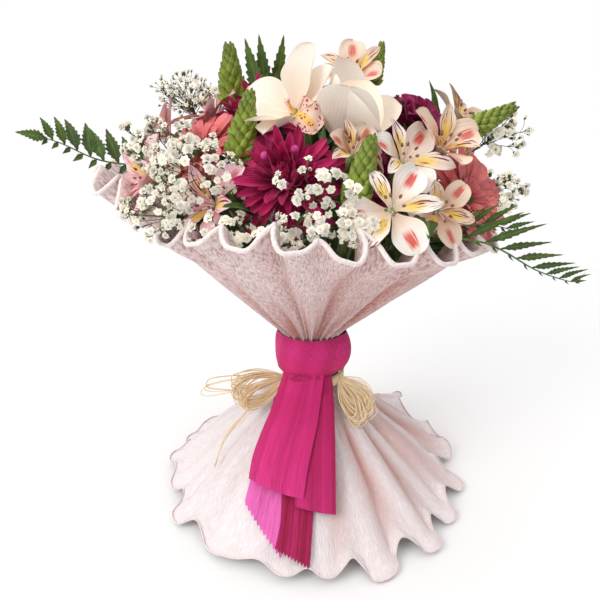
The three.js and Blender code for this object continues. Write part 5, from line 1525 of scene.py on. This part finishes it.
@dataclass(frozen=True)
class Chrysanthemum(Bloom):
    """A decorative chrysanthemum: nine layers of grooved straps from drooping and long to upright, short
    and curled in, and closed buds at its heart."""

    LAYERS = (
        (13, 0.98, 11, -12, 30, 0, (6.0, -3.0)),
        (17, 1.0, 10, 0, 26, 37, (6.0, -2.5)),
        (19, 0.98, 9.4, 12, 22, 74, (5.6, -1.5)),
        (19, 0.93, 9.0, 24, 16, 111, (5.2, -0.5)),
        (18, 0.88, 8.4, 36, 8, 148, (4.6, 1.0)),
        (17, 0.82, 7.8, 48, -4, 185, (4.0, 2.2)),
        (15, 0.72, 7.2, 60, -16, 222, (3.2, 3.2)),
        (12, 0.6, 6.4, 72, -26, 259, (2.2, 4.4)),
        (9, 0.48, 5.6, 82, -30, 296, (1.4, 5.5)),
    )
    PETAL = Whorl(
        1, 1, 1, 0, 0, Outlines.STRAP, cup=58, twist=14, ripple=0.5, groove=0.5, rows=11, jitter=3.2
    )
    length: float = 33.0
    slot: str = "magenta"
    petal: Finish = MUM
    others: tuple[Finish, ...] = (STEM, MUM_BUD)
    buds: tuple[Place, ...] = ((-11, 9, 17), (8, 12, 16), (2, -14, 17))

    def extras(self, sheaf: Sheaf, rng: np.random.Generator) -> None:
        """Adds the domed core, the green cup and the buds."""
        core = turned([(0, -3), (7, -2), (7, 3), (4, 7.5), (0, 8.5)], 10, 16)
        sheaf.add(self.place(core), tone=0.1, hoop=True)
        self.cup(sheaf, 8.5, 12, 1)
        bud = turned([(0, 0), (2.2, 1.1), (2.5, 3.0), (1.4, 4.6), (0, 5.0)], 9, 12)
        feet = np.array(self.buds, float).reshape(-1, 1, 1, 3)
        sheaf.add(self.place(bud + feet), tone=1.0, kind=1.0, slot=2, hoop=True)


@dataclass(frozen=True)
class Carnation(Bloom):
    """A carnation: five layers of crowded rippled fans with saw-toothed edges over a long green cup."""

    LAYERS = (
        (9, 1.0, 25, 10, 24, 0, (3.4, -1.0)),
        (9, 0.96, 24, 27, 22, 31, (3.2, 0.0)),
        (8, 0.9, 23, 44, 18, 62, (2.8, 1.0)),
        (7, 0.84, 21, 60, 12, 93, (2.2, 2.0)),
        (5, 0.78, 18, 76, 6, 124, (1.2, 3.0)),
    )
    PETAL = Whorl(
        1, 1, 1, 0, 0, Outlines.FAN, cup=-18, twist=8, ripple=2.1, ripples=1.6, saw=9, rows=13, lanes=18,
        jitter=2.0,
    )
    length: float = 23.0
    slot: str = "crimson"
    petal: Finish = CARNATION

    def extras(self, sheaf: Sheaf, rng: np.random.Generator) -> None:
        """Adds the long green cup."""
        self.cup(sheaf, 5.2, 16, 1)


@dataclass(frozen=True)
class Gerbera(Bloom):
    """A coral gerbera: two rings of long rays, a ring of short ones and a disc of tiny florets."""

    LAYERS = (
        (19, 0.98, 9.6, 0, 24, 0, (6.0, -0.5)),
        (19, 0.94, 9.4, 7, 24, 9, (5.6, 0.8)),
        (20, 0.62, 7.5, 22, 24, 3, (5.2, 2.0)),
        (22, 0.36, 4.2, 38, 24, 0, (4.6, 2.8)),
    )
    PETAL = Whorl(1, 1, 1, 0, 0, Outlines.RAY, cup=26, groove=0.35, rows=10, jitter=1.2)
    length: float = 34.0
    rise: float = 16.0
    slot: str = "coral"
    petal: Finish = GERBERA
    others: tuple[Finish, ...] = (BUD, STEM)
    florets: int = 90
    disc: float = 5.2

    def extras(self, sheaf: Sheaf, rng: np.random.Generator) -> None:
        """Adds the disc, florets on a sunflower spiral over a dome, and the green cup."""
        radius = seed_radii(self.florets, self.disc)
        feet = polar(radius, np.arange(self.florets) * GOLDEN_TURN, 4.6 - radius**2 * 0.06)
        path = feet[:, None] + np.linspace(-0.8, 2.0, 4)[None, :, None] * UP
        florets = self.place(tubes(path, np.array([0, 0.42, 0.42, 0]), 5))
        sheaf.add(florets, tone=rng.random(self.florets), slot=1, hoop=True)
        dome = turned([(0, 4.2), (4, 3.8), (6, 1.5), (5.5, -1)], 8, 16)
        sheaf.add(self.place(dome), tone=0.2, slot=1, hoop=True)
        self.cup(sheaf, 7.5, 12, 2)


PEACH, PINK = {"petal": PEACH_LILY}, {"petal": PINK_LILY, "slot": "pink"}
BLOOMS: tuple[Bloom, ...] = (
    Cymbidium("left", (-16, -58, 344), (236, 40), 30, 37, 36, bend=4, wide=1.1),
    Cymbidium("right", (18, -60, 322), (296, 62), 34, 54, 56, bend=-14, wide=1.3),
    Chrysanthemum("front", (-21, -98, 303), (262, 38)),
    Chrysanthemum("rear", (-46, -20, 338), (215, 55), length=30),
    Chrysanthemum("back", (26, 74, 326), (75, 42), length=32),
    Carnation("right", (66, -38, 334), (300, 50)),
    Carnation("low", (36, -66, 300), (285, 20), length=19),
    Carnation("back", (-36, 88, 314), (112, 32)),
    Gerbera("right", (103, -70, 287), (304, 28), length=31),
    Gerbera("left", (-84, -52, 314), (222, 42)),
    Gerbera("back", (84, 62, 300), (38, 28)),
    Alstroemeria("front", (43, -127, 290), (268, 34), 32, 28, 26),
    Alstroemeria("middle", (54, -90, 314), (292, 46), 30, 27),
    Alstroemeria("upper_right", (82, -76, 320), (305, 56), 10, 28, 48, **PEACH),
    Alstroemeria("lower_right", (76, -106, 286), (276, 10), 25, 23, **PEACH),
    Alstroemeria("far_right", (108, -8, 336), (345, 50), **PEACH),
    Alstroemeria("top", (27, -10, 368), (262, 48), 50, 27, 48, **PEACH),
    Alstroemeria("peach", (21, -96, 319), (284, 50), 20, 21, 58, **PEACH),
    Alstroemeria("pink_upper", (-78, -14, 338), (195, 58), **PINK),
    Alstroemeria("pink_left", (-114, -14, 326), (185, 45), **PINK),
    Alstroemeria("yellow_left", (-116, -66, 300), (212, 12), **PINK),
    Alstroemeria("pink_lower", (-68, -98, 288), (240, 20), length=27, **PINK),
    Alstroemeria("back", (8, 118, 286), (92, 22)),
    Alstroemeria("back_left", (-84, 56, 320), (145, 45)),
    Alstroemeria("back_top", (-12, 34, 352), (95, 72), **PINK),
    Alstroemeria("side_left", (-118, 34, 296), (165, 24), **PINK),
    Alstroemeria("side_right", (120, 22, 296), (8, 26), **PINK),
)


@dataclass(frozen=True)
class BudSpike:
    """A spike of closed ornithogalum buds, plump and pale at its foot, small and green at its tip."""

    node: str
    base: Place
    tip: Place
    radius: float
    buds: int = 66
    lean: Span = (46.0, 10.0)

    def build(self) -> Piece:
        """Grows lemon-shaped buds on a golden spiral round a tapering stalk.

        Bud k stands at height s = (k / buds)^0.95 of the spike. It leans off the stalk by the first
        number of `lean` in degrees at the foot and by the second at the tip, and shrinks to half its size.

        Returns:
            The spike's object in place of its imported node.
        """
        rng = own_rng(self.node)
        base, tip = np.array(self.base, float), np.array(self.tip, float)
        length = np.linalg.norm(tip - base)
        turn = turns_to(unit(tip - base))
        order = np.arange(self.buds)
        s = (order / self.buds) ** 0.95
        size = 1 - 0.5 * s**2.2
        around = polar(1.0, order * GOLDEN_TURN, 0.0)
        lean = np.radians(self.lean[0] - (self.lean[0] - self.lean[1]) * s)[:, None]
        axes = around * np.sin(lean) + UP * np.cos(lean)
        feet = around * (0.3 * self.radius * size)[:, None] + UP * (s * length * 0.9)[:, None]
        bud = turned([(0, 0), (1.5, 1), (3.1, 4.5), (2.5, 8.5), (0.9, 11.6), (0, 12.4)], 9, 8)
        bud[..., :2] *= 1 + 0.05 * np.cos(3 * np.arctan2(bud[..., 1], bud[..., 0]))[..., None]
        scale = (self.radius / 11.5 * size * (1 + rng.normal(0, 0.04, self.buds)))[:, None, None, None]
        grids = np.einsum("bij,rcj->brci", turns_to(axes), bud) * scale + feet[:, None, None]
        tone = np.clip(1 - s + rng.normal(0, 0.08, self.buds), 0, 1)
        stalk = np.linspace(-4, length * 0.95, 12)[None, :, None] * UP
        sheaf = Sheaf().add(grids @ turn.T + base, tone=tone, hoop=True)
        sheaf.add(tubes(stalk @ turn.T + base, ends_closed(12, 2.2, 0.5), 8), slot=1, hoop=True)
        return hand_in(sheaf.build(f"{self.node}_spike", [BUD, STEM]), "lime", self.node)


SPIKES = (
    BudSpike("ornithogalum_rear_left", (-63, -20, 346), (-64, -20, 392), 11),
    BudSpike("ornithogalum_left", (-54, -84, 314), (-45, -72, 360), 10.5),
    BudSpike("ornithogalum_front", (20, -122, 290), (32, -108, 334), 10.5),
    BudSpike("ornithogalum_top", (44, 0, 364), (51, 5, 395), 7),
    BudSpike("ornithogalum_right", (99, -42, 326), (141, -50, 350), 10),
    BudSpike("ornithogalum_back", (52, 100, 292), (60, 116, 334), 10),
)


def leaf_grids(
    base: Array, along: Array, up: Array, length: Array, width: Array, bend: Array, teeth: int = 0
) -> Array:
    """Gives pointed leaves with a folded midrib, or blades with teeth that point forwards.

    In its own frame a leaf is the arc x = L sin(b u) / b, z = -L (1 - cos(b u)) / b, with y = h v and a
    lift of 0.28 h |v| beside the midrib, where h is the leaf outline's half width, and a small wave. A
    tooth grows over four fifths of its span, from a notch that leaves 0.7 of the width.

    Args:
        base: where each leaf starts, of shape (leaves, 3).
        along: the way that each leaves.
        up: the way that its upper side faces.
        length: each leaf's length.
        width: each leaf's width.
        bend: how far each turns down, in radians.
        teeth: how many teeth each edge has.

    Returns:
        Points of shape (leaves, rows, lanes, 3).
    """
    if teeth:
        u = np.append(((np.arange(teeth)[:, None] + [0.0, 0.8]) / teeth * 0.95).ravel(), 1.0)
        notch = np.append(np.tile([0.7, 1.0], teeth), 0.0)
    else:
        u = np.linspace(0, 1, 14)
        notch = np.ones(14)
    u, notch = u[None, :, None], notch[None, :, None]
    v = np.linspace(-1, 1, 5 if teeth else 7)[None, None, :]
    along = unit(along)
    up = unit(up - along * (up * along).sum(-1, keepdims=True))
    side = np.cross(up, along)
    length, width, bend = (np.asarray(a, float).reshape(-1, 1, 1) for a in (length, width, bend))
    half = width / 2 * Outlines.LEAF.value.half(u) * notch
    x = length * np.sin(bend * u) / bend
    wave = width * 0.03 * np.sin(9 * u + 2 * v) * v
    z = -length * (1 - np.cos(bend * u)) / bend + 0.28 * half * np.abs(v) + wave
    x, y, z = np.broadcast_arrays(x, half * v, z)
    axes = [a[:, None, None] for a in (along, side, up)]
    return base[:, None, None] + sum(a * c[..., None] for a, c in zip(axes, (x, y, z)))


@dataclass(frozen=True)
class Frond:
    """A leatherleaf frond: toothed pinnae on both sides of an arched rib, and a long one at its tip.

    Its plane holds the rib and is turned up from the level by `tilt` degrees; pinnae sweep forward by
    `sweep`, and those of the lower side have `lower` of the upper ones' length.
    """

    node: str
    rib: tuple[Place, ...]
    reach: float
    pairs: int
    tilt: float = 0.0
    sweep: float = 0.5
    lower: float = 1.0
    slim: float = 0.27
    fullest: float = 1.2
    tip: float = 0.17
    teeth: int = 8

    def build(self) -> Piece:
        """Lays out pinnae along the rib as arrays.

        One that stands at u on the rib is 3 + reach * sin(pi (0.14 + 0.86 u)^fullest)^0.7 long. The last
        goes on along the rib, and is `tip` of its length.

        Returns:
            The frond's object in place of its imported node.
        """
        rng = own_rng(self.node)
        rib = spline(np.array(self.rib, float), 81)
        u = np.append(np.linspace(0.06, 0.86, self.pairs * 2), 0.86)
        stops = np.arange(len(rib))
        place, slope = (
            np.stack([np.interp(u * stops[-1], stops, line) for line in lines.T], -1)
            for lines in (rib, np.gradient(rib, axis=0))
        )
        along = unit(slope)
        level = unit(np.cross(along, UP))
        up = np.cross(level, along)
        tilt = math.radians(self.tilt)
        side = level * math.cos(tilt) + up * math.sin(tilt)
        normal = np.cross(side, along)
        upper = np.arange(len(u)) % 2 == 0
        hand = np.where(upper, 1.0, -1.0)[:, None]
        full = np.clip(np.sin(math.pi * (0.14 + 0.86 * u) ** self.fullest), 0, 1) ** 0.7
        full = full * np.where(upper, 1, self.lower)
        reach = 3 + self.reach * full * (1 + rng.normal(0, 0.08, len(u)))
        sweep = self.sweep * (0.8 + 0.6 * u[:, None]) + rng.normal(0, 0.06, (len(u), 1))
        way = unit(side * hand + along * sweep + normal * rng.normal(0, 0.16, (len(u), 1)))
        way[-1], reach[-1] = along[-1], self.tip * np.linalg.norm(np.diff(rib, axis=0), axis=1).sum()
        grids = leaf_grids(place, way, normal, reach, reach * self.slim + 1.5, 0.25 + 0.2 * u, self.teeth)
        sheaf = Sheaf().add(grids, rng.random(len(u)))
        sheaf.add(tubes(rib[None, ::4], ends_closed(21, 0.8, 0.35), 6), slot=1, hoop=True)
        return hand_in(sheaf.build(f"{self.node}_frond", [FERN, STEM]), "fern", self.node)


@dataclass(frozen=True)
class FernTip(Frond):
    """The tip of an upright frond, seen as one lance-shaped toothed blade with two small ones at its foot."""

    def build(self) -> Piece:
        """Stands the blades on the rib's first point, the large one along it, and returns their object."""
        base, tip = np.array(self.rib[0], float), np.array(self.rib[-1], float)
        along = np.stack([tip - base + turn for turn in ([0, 0, 0], [-22, 0, -8], [22, 0, -8])])
        length = np.linalg.norm(tip - base) * np.array([1.0, 0.5, 0.5])
        up = np.tile([0.0, -1.0, 0.2], (3, 1))
        grids = leaf_grids(np.tile(base, (3, 1)), along, up, length, length * self.slim, 0.12, self.pairs)
        sheaf = Sheaf().add(grids, tone=np.array([0.7, 0.4, 0.5]))
        return hand_in(sheaf.build(f"{self.node}_frond", [FERN]), "fern", self.node)


FRONDS = (
    Frond(
        "fern_left", ((-122, -26, 304), (-162, -35, 310), (-185, -50, 324), (-198, -60, 330)), 27, 8,
        tilt=72, sweep=0.5, lower=0.25, slim=0.5, fullest=0.85, tip=0.23,
    ),
    Frond(
        "fern_right_long",
        (
            (64, -116, 272), (100, -112, 268), (121, -106, 260), (150, -94, 243), (177, -80, 231),
            (194, -71, 226), (205, -62, 231),
        ),
        40, 9, tilt=103, sweep=1.9, lower=0.1, slim=0.145, fullest=0.7, tip=0.07,
    ),
    Frond(
        "fern_right_upper", ((88, -96, 274), (116, -94, 274), (138, -90, 268)), 24, 5,
        tilt=103, sweep=1.5, lower=0.2, slim=0.2,
    ),
    FernTip("fern_top_left", ((-44, 22, 350), (-57, 26, 400)), 0, 9, slim=0.36),
    FernTip("fern_top_middle", ((-40, 36, 352), (-46, 32, 403)), 0, 9, slim=0.36),
    FernTip("fern_top_right", ((-34, 50, 350), (-26, 40, 403)), 0, 9, slim=0.36),
    Frond("fern_back_left", ((-82, 92, 296), (-122, 122, 300), (-152, 148, 286)), 21, 10, tilt=20),
    Frond("fern_back_right", ((84, 96, 292), (122, 112, 296), (158, 122, 282)), 21, 10, tilt=20),
)


@dataclass
class Foliage:
    """The plain leaves that show between blooms, and the dark filler leaves below them.

    NAMED holds a leaf's node, base, the azimuth and elevation that it faces, its way, length and width.
    """

    NAMED = (
        ("leaf_right", (88, -18, 326), (320, 20), (0.15, 0.05, 1), 42, 20),
        ("leaf_front", (68, -112, 282), (290, 60), (-0.1, -1, 0.1), 34, 16),
        ("leaf_left", (-40, -112, 284), (250, 50), (-0.5, -0.8, 0.6), 32, 16),
        ("leaf_back", (-8, 96, 300), (95, 40), (-0.2, 0.8, 0.9), 44, 20),
    )
    fillers: int = 460
    dome_radius: float = 126.0
    dome_bend: float = 112.0
    dome_top: float = 314.0
    dome_sag: float = 70.0
    seed: int = 11

    def named(self) -> None:
        """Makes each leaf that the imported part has, with a smaller one beside it."""
        for node, base, face, lean, length, width in self.NAMED:
            root = np.array([base, base], float)
            way = unit(np.array([lean, lean], float))
            way[1] = unit(way[1] + 0.5 * np.cross(way[1], towards(*face)))
            up = np.stack([towards(*face)] * 2)
            grids = leaf_grids(root, way, up, [length, length * 0.8], [width, width * 0.75], [0.5, 0.6])
            sheaf = Sheaf().add(grids, tone=np.array([0.6, 0.35]))
            hand_in(sheaf.build(f"{node}_blades", [LEAF]), "fern", node)

    def filler(self) -> None:
        """Scatters leaves on a golden spiral over a dome that lies under the blooms, leaning outwards."""
        rng = np.random.default_rng(self.seed)
        radius = seed_radii(self.fillers, self.dome_radius)
        around = polar(1.0, np.arange(self.fillers) * GOLDEN_TURN, 0.0)
        out = (radius / self.dome_bend)[:, None]
        height = self.dome_top - self.dome_sag * out[:, 0] ** 2 + rng.normal(0, 8, self.fillers)
        base = around * radius[:, None] + UP * height[:, None]
        way = around * (0.35 + 0.9 * out) + UP * (0.9 - 0.35 * out) + rng.normal(0, 0.3, base.shape)
        up = -around * 0.5 + UP + rng.normal(0, 0.25, base.shape)
        length, width = rng.uniform(26, 40, self.fillers), rng.uniform(9, 15, self.fillers)
        grids = leaf_grids(base, way, up, length, width, rng.uniform(0.3, 1.0, self.fillers))
        sheaf = Sheaf().add(PaperWrap().room(grids, 3), tone=rng.random(self.fillers))
        hand_in(sheaf.build("filler_leaves", [LEAF]), "fern")

    def build(self) -> None:
        """Makes all plain leaves."""
        self.named()
        self.filler()


@dataclass(frozen=True)
class Spray:
    """A spray of gypsophila: twigs fork from its base to tufts of tiny double florets."""

    FLORET_SEED = 3
    node: str
    base: Place
    centre: Place
    spread: Place
    tufts: int = 9
    per_tuft: int = 5
    size: float = 1.0
    filler: bool = False

    def floret(self) -> Array:
        """Gives one floret of unit radius: three whorls of tiny petals, of shape (14, 3, 3, 3)."""
        rng = np.random.default_rng(self.FLORET_SEED)
        whorls = (
            (6, 1.0, 1.1, 14, 40, 0, 34, (0.1, 0)),
            (5, 0.92, 1.0, 48, 36, 25, 42, (0.08, 0.05)),
            (3, 0.85, 0.9, 78, 20, 50, 50, (0.05, 0.1)),
        )
        return np.concatenate([
            Whorl(
                count, length, width, rise, bend, Outlines.FLORET, turn, cup, root, 0.0, 0.08, rows=3, lanes=2
            ).grids(rng)
            for count, length, width, rise, bend, turn, cup, root in whorls
        ])

    def build(self) -> Piece:
        """Places tufts evenly through the cloud, florets round each, and curved twigs to all of them.

        Returns:
            The spray's object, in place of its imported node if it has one.
        """
        rng = own_rng(self.node)
        base, centre, spread = (np.array(a, float) for a in (self.base, self.centre, self.spread))
        order = np.arange(self.tufts)
        z = 1 - (2 * order + 1) / self.tufts
        shell = polar(np.sqrt(1 - z**2), order * GOLDEN_TURN, z)
        tufts = centre + shell * spread * rng.uniform(0.45, 0.92, (self.tufts, 1))
        fork = base + (centre - base) * rng.uniform(0.15, 0.6, (self.tufts, 1))
        ways = unit(tufts - fork)
        count = self.tufts * self.per_tuft
        fan = unit(ways.repeat(self.per_tuft, 0) * 1.1 + rng.normal(0, 0.62, (count, 3)) + [0, -0.1, 0.25])
        forks = tufts - ways * 5
        starts = forks.repeat(self.per_tuft, 0)
        heads = starts + fan * rng.uniform(5.5, 11.5, (count, 1))
        size = self.size * rng.uniform(2.5, 3.6, count) * np.where(rng.random(count) < 0.14, 0.5, 1.0)
        turns = turns_to(fan) * size[:, None, None]
        petals = self.floret()
        grids = np.einsum("fij,prcj->fprci", turns, petals) + heads[:, None, None, None]
        sheaf = Sheaf().add(grids, tone=rng.random(count).repeat(len(petals)))
        cup = turned([(0, -1.0), (0.34, -0.8), (0.42, -0.15), (0.3, 0.12)], 4, 5)
        cups = np.einsum("fij,rcj->frci", turns, cup) + heads[:, None, None]
        sheaf.add(cups, tone=rng.random(count), slot=1, hoop=True)
        main = spline(np.stack([np.broadcast_to(base, fork.shape), fork, forks], 1), 9)
        sheaf.add(tubes(main, np.linspace(0.5, 0.26, 9), 4), tone=0.4, slot=1, hoop=True)
        ends = heads - fan * size[:, None] * 0.9
        bowed = (starts + ends) / 2 + ways.repeat(self.per_tuft, 0) * 1.2
        fine = spline(np.stack([starts, bowed, ends], 1), 6)
        sheaf.add(tubes(fine, np.full(6, 0.2), 3), tone=0.5, slot=1, hoop=True)
        piece = sheaf.build(f"{self.node}_spray", [FLORET, TWIG])
        return hand_in(piece, "white", *([] if self.filler else [self.node]))


SPRAYS = (
    Spray("gypsophila_upper_left", (-92, 0, 334), (-102, -4, 357), (28, 22, 16), 30, size=0.62),
    Spray("gypsophila_left", (-94, -54, 304), (-108, -66, 322), (32, 20, 22), 21, size=0.95),
    Spray("gypsophila_mid_left", (-70, -82, 296), (-82, -102, 310), (34, 18, 26), 24),
    Spray("gypsophila_low_left", (-82, -82, 276), (-106, -106, 284), (32, 18, 17), 17, size=0.85),
    Spray("gypsophila_middle", (-2, -106, 290), (-2, -132, 304), (27, 10, 20), 11, per_tuft=4),
    Spray("gypsophila_front", (12, -108, 274), (10, -136, 281), (38, 9, 10), 13),
    Spray("gypsophila_upper_right", (118, -30, 316), (136, -36, 330), (20, 20, 16), 13, size=0.9),
    Spray("gypsophila_lower_right", (112, -40, 276), (138, -48, 288), (16, 24, 16), 13),
    Spray("gypsophila_back", (-40, 112, 284), (-48, 130, 300), (36, 18, 20), 16),
    Spray("gypsophila_rim_left", (-50, -96, 262), (-58, -120, 276), (22, 8, 10), 7, filler=True),
    Spray("gypsophila_rim_middle", (-22, -104, 258), (-26, -128, 272), (20, 7, 9), 6, filler=True),
    Spray("gypsophila_rim_back", (40, 104, 262), (48, 124, 280), (34, 12, 14), 10, filler=True),
    Spray("gypsophila_side_left", (-112, 8, 288), (-134, 10, 302), (14, 34, 14), 12, size=0.9, filler=True),
)


@dataclass
class Stems:
    """The bound stems: each runs from its bloom through the neck, and twelve go on to the table."""

    thick: float = 2.0
    thin: float = 1.2
    twig: float = 0.8
    straight: float = 22.0
    crown_radius: float = 130.0
    root_radius: float = 12.0
    root_height: float = 149.0
    spiral: float = 0.5
    low: float = 104.0
    low_radius: float = 16.0
    feet: int = 11
    foot_radius: float = 46.0
    foot_top: Span = (14.6, 108.0)
    foot_thick: float = 2.4
    seed: int = 21

    def ends(self) -> tuple[Array, Array, Array]:
        """Returns where each stem ends, the way that it points there and its radius."""
        rows = [(b.at, towards(*b.face), self.thick) for b in BLOOMS]
        rows += [(s.base, unit(np.subtract(s.tip, s.base)), self.thick) for s in SPIKES]
        rows += [(f.rib[0], unit(np.subtract(f.rib[1], f.rib[0])), self.thin) for f in FRONDS]
        rows += [(base, unit(np.array(lean, float)), self.thin) for _, base, _, lean, _, _ in Foliage.NAMED]
        rows += [(s.base, unit(np.subtract(s.centre, s.base)), self.twig) for s in SPRAYS]
        at, way, radius = zip(*rows)
        return np.array(at, float), np.array(way, float), np.array(radius)

    def bound(self) -> tuple[Array, Array]:
        """Bends each stem from its bloom's axis to its place in the bundle and on down through the tie.

        Returns:
            The stems' centre lines, of shape (stems, points, 3), and the radii along them.
        """
        at, way, radius = self.ends()
        root = at * [1, 1, 0] * (self.root_radius / self.crown_radius) + [0, 0, self.root_height]
        turn = np.arctan2(root[:, 1], root[:, 0]) + self.spiral
        low = polar(seed_radii(len(at), self.low_radius), turn, self.low)
        elbow = at - way * self.straight
        middle = root + (elbow - root) * 0.5 + towards(np.degrees(turn) + 90) * 2.0
        paths = spline(np.stack([low, root, middle, elbow, at], 1), 30)
        radii = radius[:, None] * np.ones(30)
        radii[:, [0, -1]] = 0
        return paths, radii

    def splayed(self) -> Array:
        """Returns the cut stems' centre lines below the tie: a ring that spirals out, and a middle one."""
        angle, (radius, height) = np.arange(self.feet) * 360 / self.feet, self.foot_top
        top = np.vstack([towards(angle) * radius, np.zeros((1, 3))]) + UP * height
        foot = np.vstack([towards(angle + 50) * self.foot_radius, np.zeros((1, 3))])
        legs = top[:, None] + (foot - top)[:, None] * np.linspace(0, 1, 12)[None, :, None]
        legs[..., 2] = np.maximum(legs[..., 2], 0.2)
        return legs

    def build(self) -> Piece:
        """Returns the object of all the stems, with flat cut ends that stand on the table."""
        rng = np.random.default_rng(self.seed)
        paths, radii = self.bound()
        stems = PaperWrap().room(tubes(paths, radii, 8), 2.5)
        sheaf = Sheaf().add(stems, tone=rng.random(len(paths)), hoop=True)
        legs = tubes(self.splayed(), self.foot_thick, 10)
        ring = legs[:, -1]
        caps = np.stack([ring, np.broadcast_to(ring.mean(1, keepdims=True), ring.shape)], 1)
        for grids in (legs, caps):
            grids[..., 2] = np.maximum(grids[..., 2], 0)
        sheaf.add(legs, tone=rng.random(len(legs)), hoop=True).add(caps, tone=0.9, hoop=True)
        piece = sheaf.build("spiral_stems", [STEM])
        return hand_in(piece, "stem", "stem_bundle")


@dataclass
class Studio:
    """A pale floor, soft lights and the camera of the photograph."""

    camera_at: Place = (-12.4, -451.2, 355.0)
    pitch: float = 20.72
    lens: float = 32.24
    floor_radius: float = 950.0
    sky_light: float = 0.45
    sky_seen: float = 1.0
    aim: Place = (0.0, 0.0, 0.2)
    white: Colour = (1.0, 1.0, 1.0)

    def floor(self) -> None:
        """Lays a round floor just under the hem."""
        radius = np.array([1.0, 0.5, 0.0])[:, None] * self.floor_radius
        grid = polar(radius, np.linspace(0, TURN, 96, endpoint=False), -0.15)
        Sheaf().add(grid, hoop=True).build("studio_floor", [FloorFinish()])

    def light(self, name: str, place: Place, size: float, power: float, tint: Colour) -> None:
        """Hangs a soft square light that faces `aim`, the middle of the bouquet in metres.

        Args:
            name: the light's name.
            place: where it hangs, in metres.
            size: how wide it is, in metres.
            power: its power in watts.
            tint: its colour.
        """
        lamp = bpy.data.lights.new(name, "AREA")
        lamp.shape, lamp.size, lamp.energy, lamp.color = "SQUARE", size, power, tint
        hung = bpy.data.objects.new(name, lamp)
        way = unit(np.subtract(self.aim, place))
        hung.location = place
        hung.rotation_euler = (math.acos(-way[2]), 0.0, math.atan2(-way[0], way[1]))
        bpy.context.scene.collection.objects.link(hung)

    def build(self) -> None:
        """Sets the floor, the sky, the lights and the camera."""
        self.floor()
        scene = bpy.context.scene
        world = bpy.data.worlds.new("studio_sky")
        world.use_nodes = True
        sky = world.node_tree.nodes["Background"]
        sky.inputs["Color"].default_value = (*self.white, 1.0)
        shading = Shading(world.node_tree)
        seen = shading.add("ShaderNodeLightPath").outputs["Is Camera Ray"]
        strength = shading.between(seen, 0.0, 1.0, self.sky_light, self.sky_seen)
        world.node_tree.links.new(strength, sky.inputs["Strength"])
        scene.world = world
        self.light("ceiling", (0.0, -0.01, 3.0), 6.0, 114.0, self.white)
        self.light("key", (-0.95, -0.85, 1.0), 0.7, 9.5, (1.0, 0.99, 0.975))
        scene.view_settings.view_transform = "Standard"
        lens = bpy.data.cameras.new("photo_view")
        lens.lens, lens.sensor_width, lens.clip_start = self.lens, 36.0, 0.01
        camera = bpy.data.objects.new("photo_view", lens)
        camera.location = [c * MM for c in self.camera_at]
        camera.rotation_euler = (math.radians(90 - self.pitch), 0.0, 0.0)
        scene.collection.objects.link(camera)
        scene.camera = camera


def main() -> None:
    """Builds the bouquet from the paper inwards and up, then the stage."""
    logging.basicConfig(level=logging.INFO, format="%(name)s %(message)s")
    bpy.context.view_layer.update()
    Studio().build()
    PaperWrap().build()
    Ribbon().build()
    Tie().build()
    Stems().build()
    for bloom in BLOOMS:
        bloom.build()
    for spike in SPIKES:
        spike.build()
    for frond in FRONDS:
        frond.build()
    Foliage().build()
    for spray in SPRAYS:
        spray.build()
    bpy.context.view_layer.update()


if __name__ == "__main__":
    main()
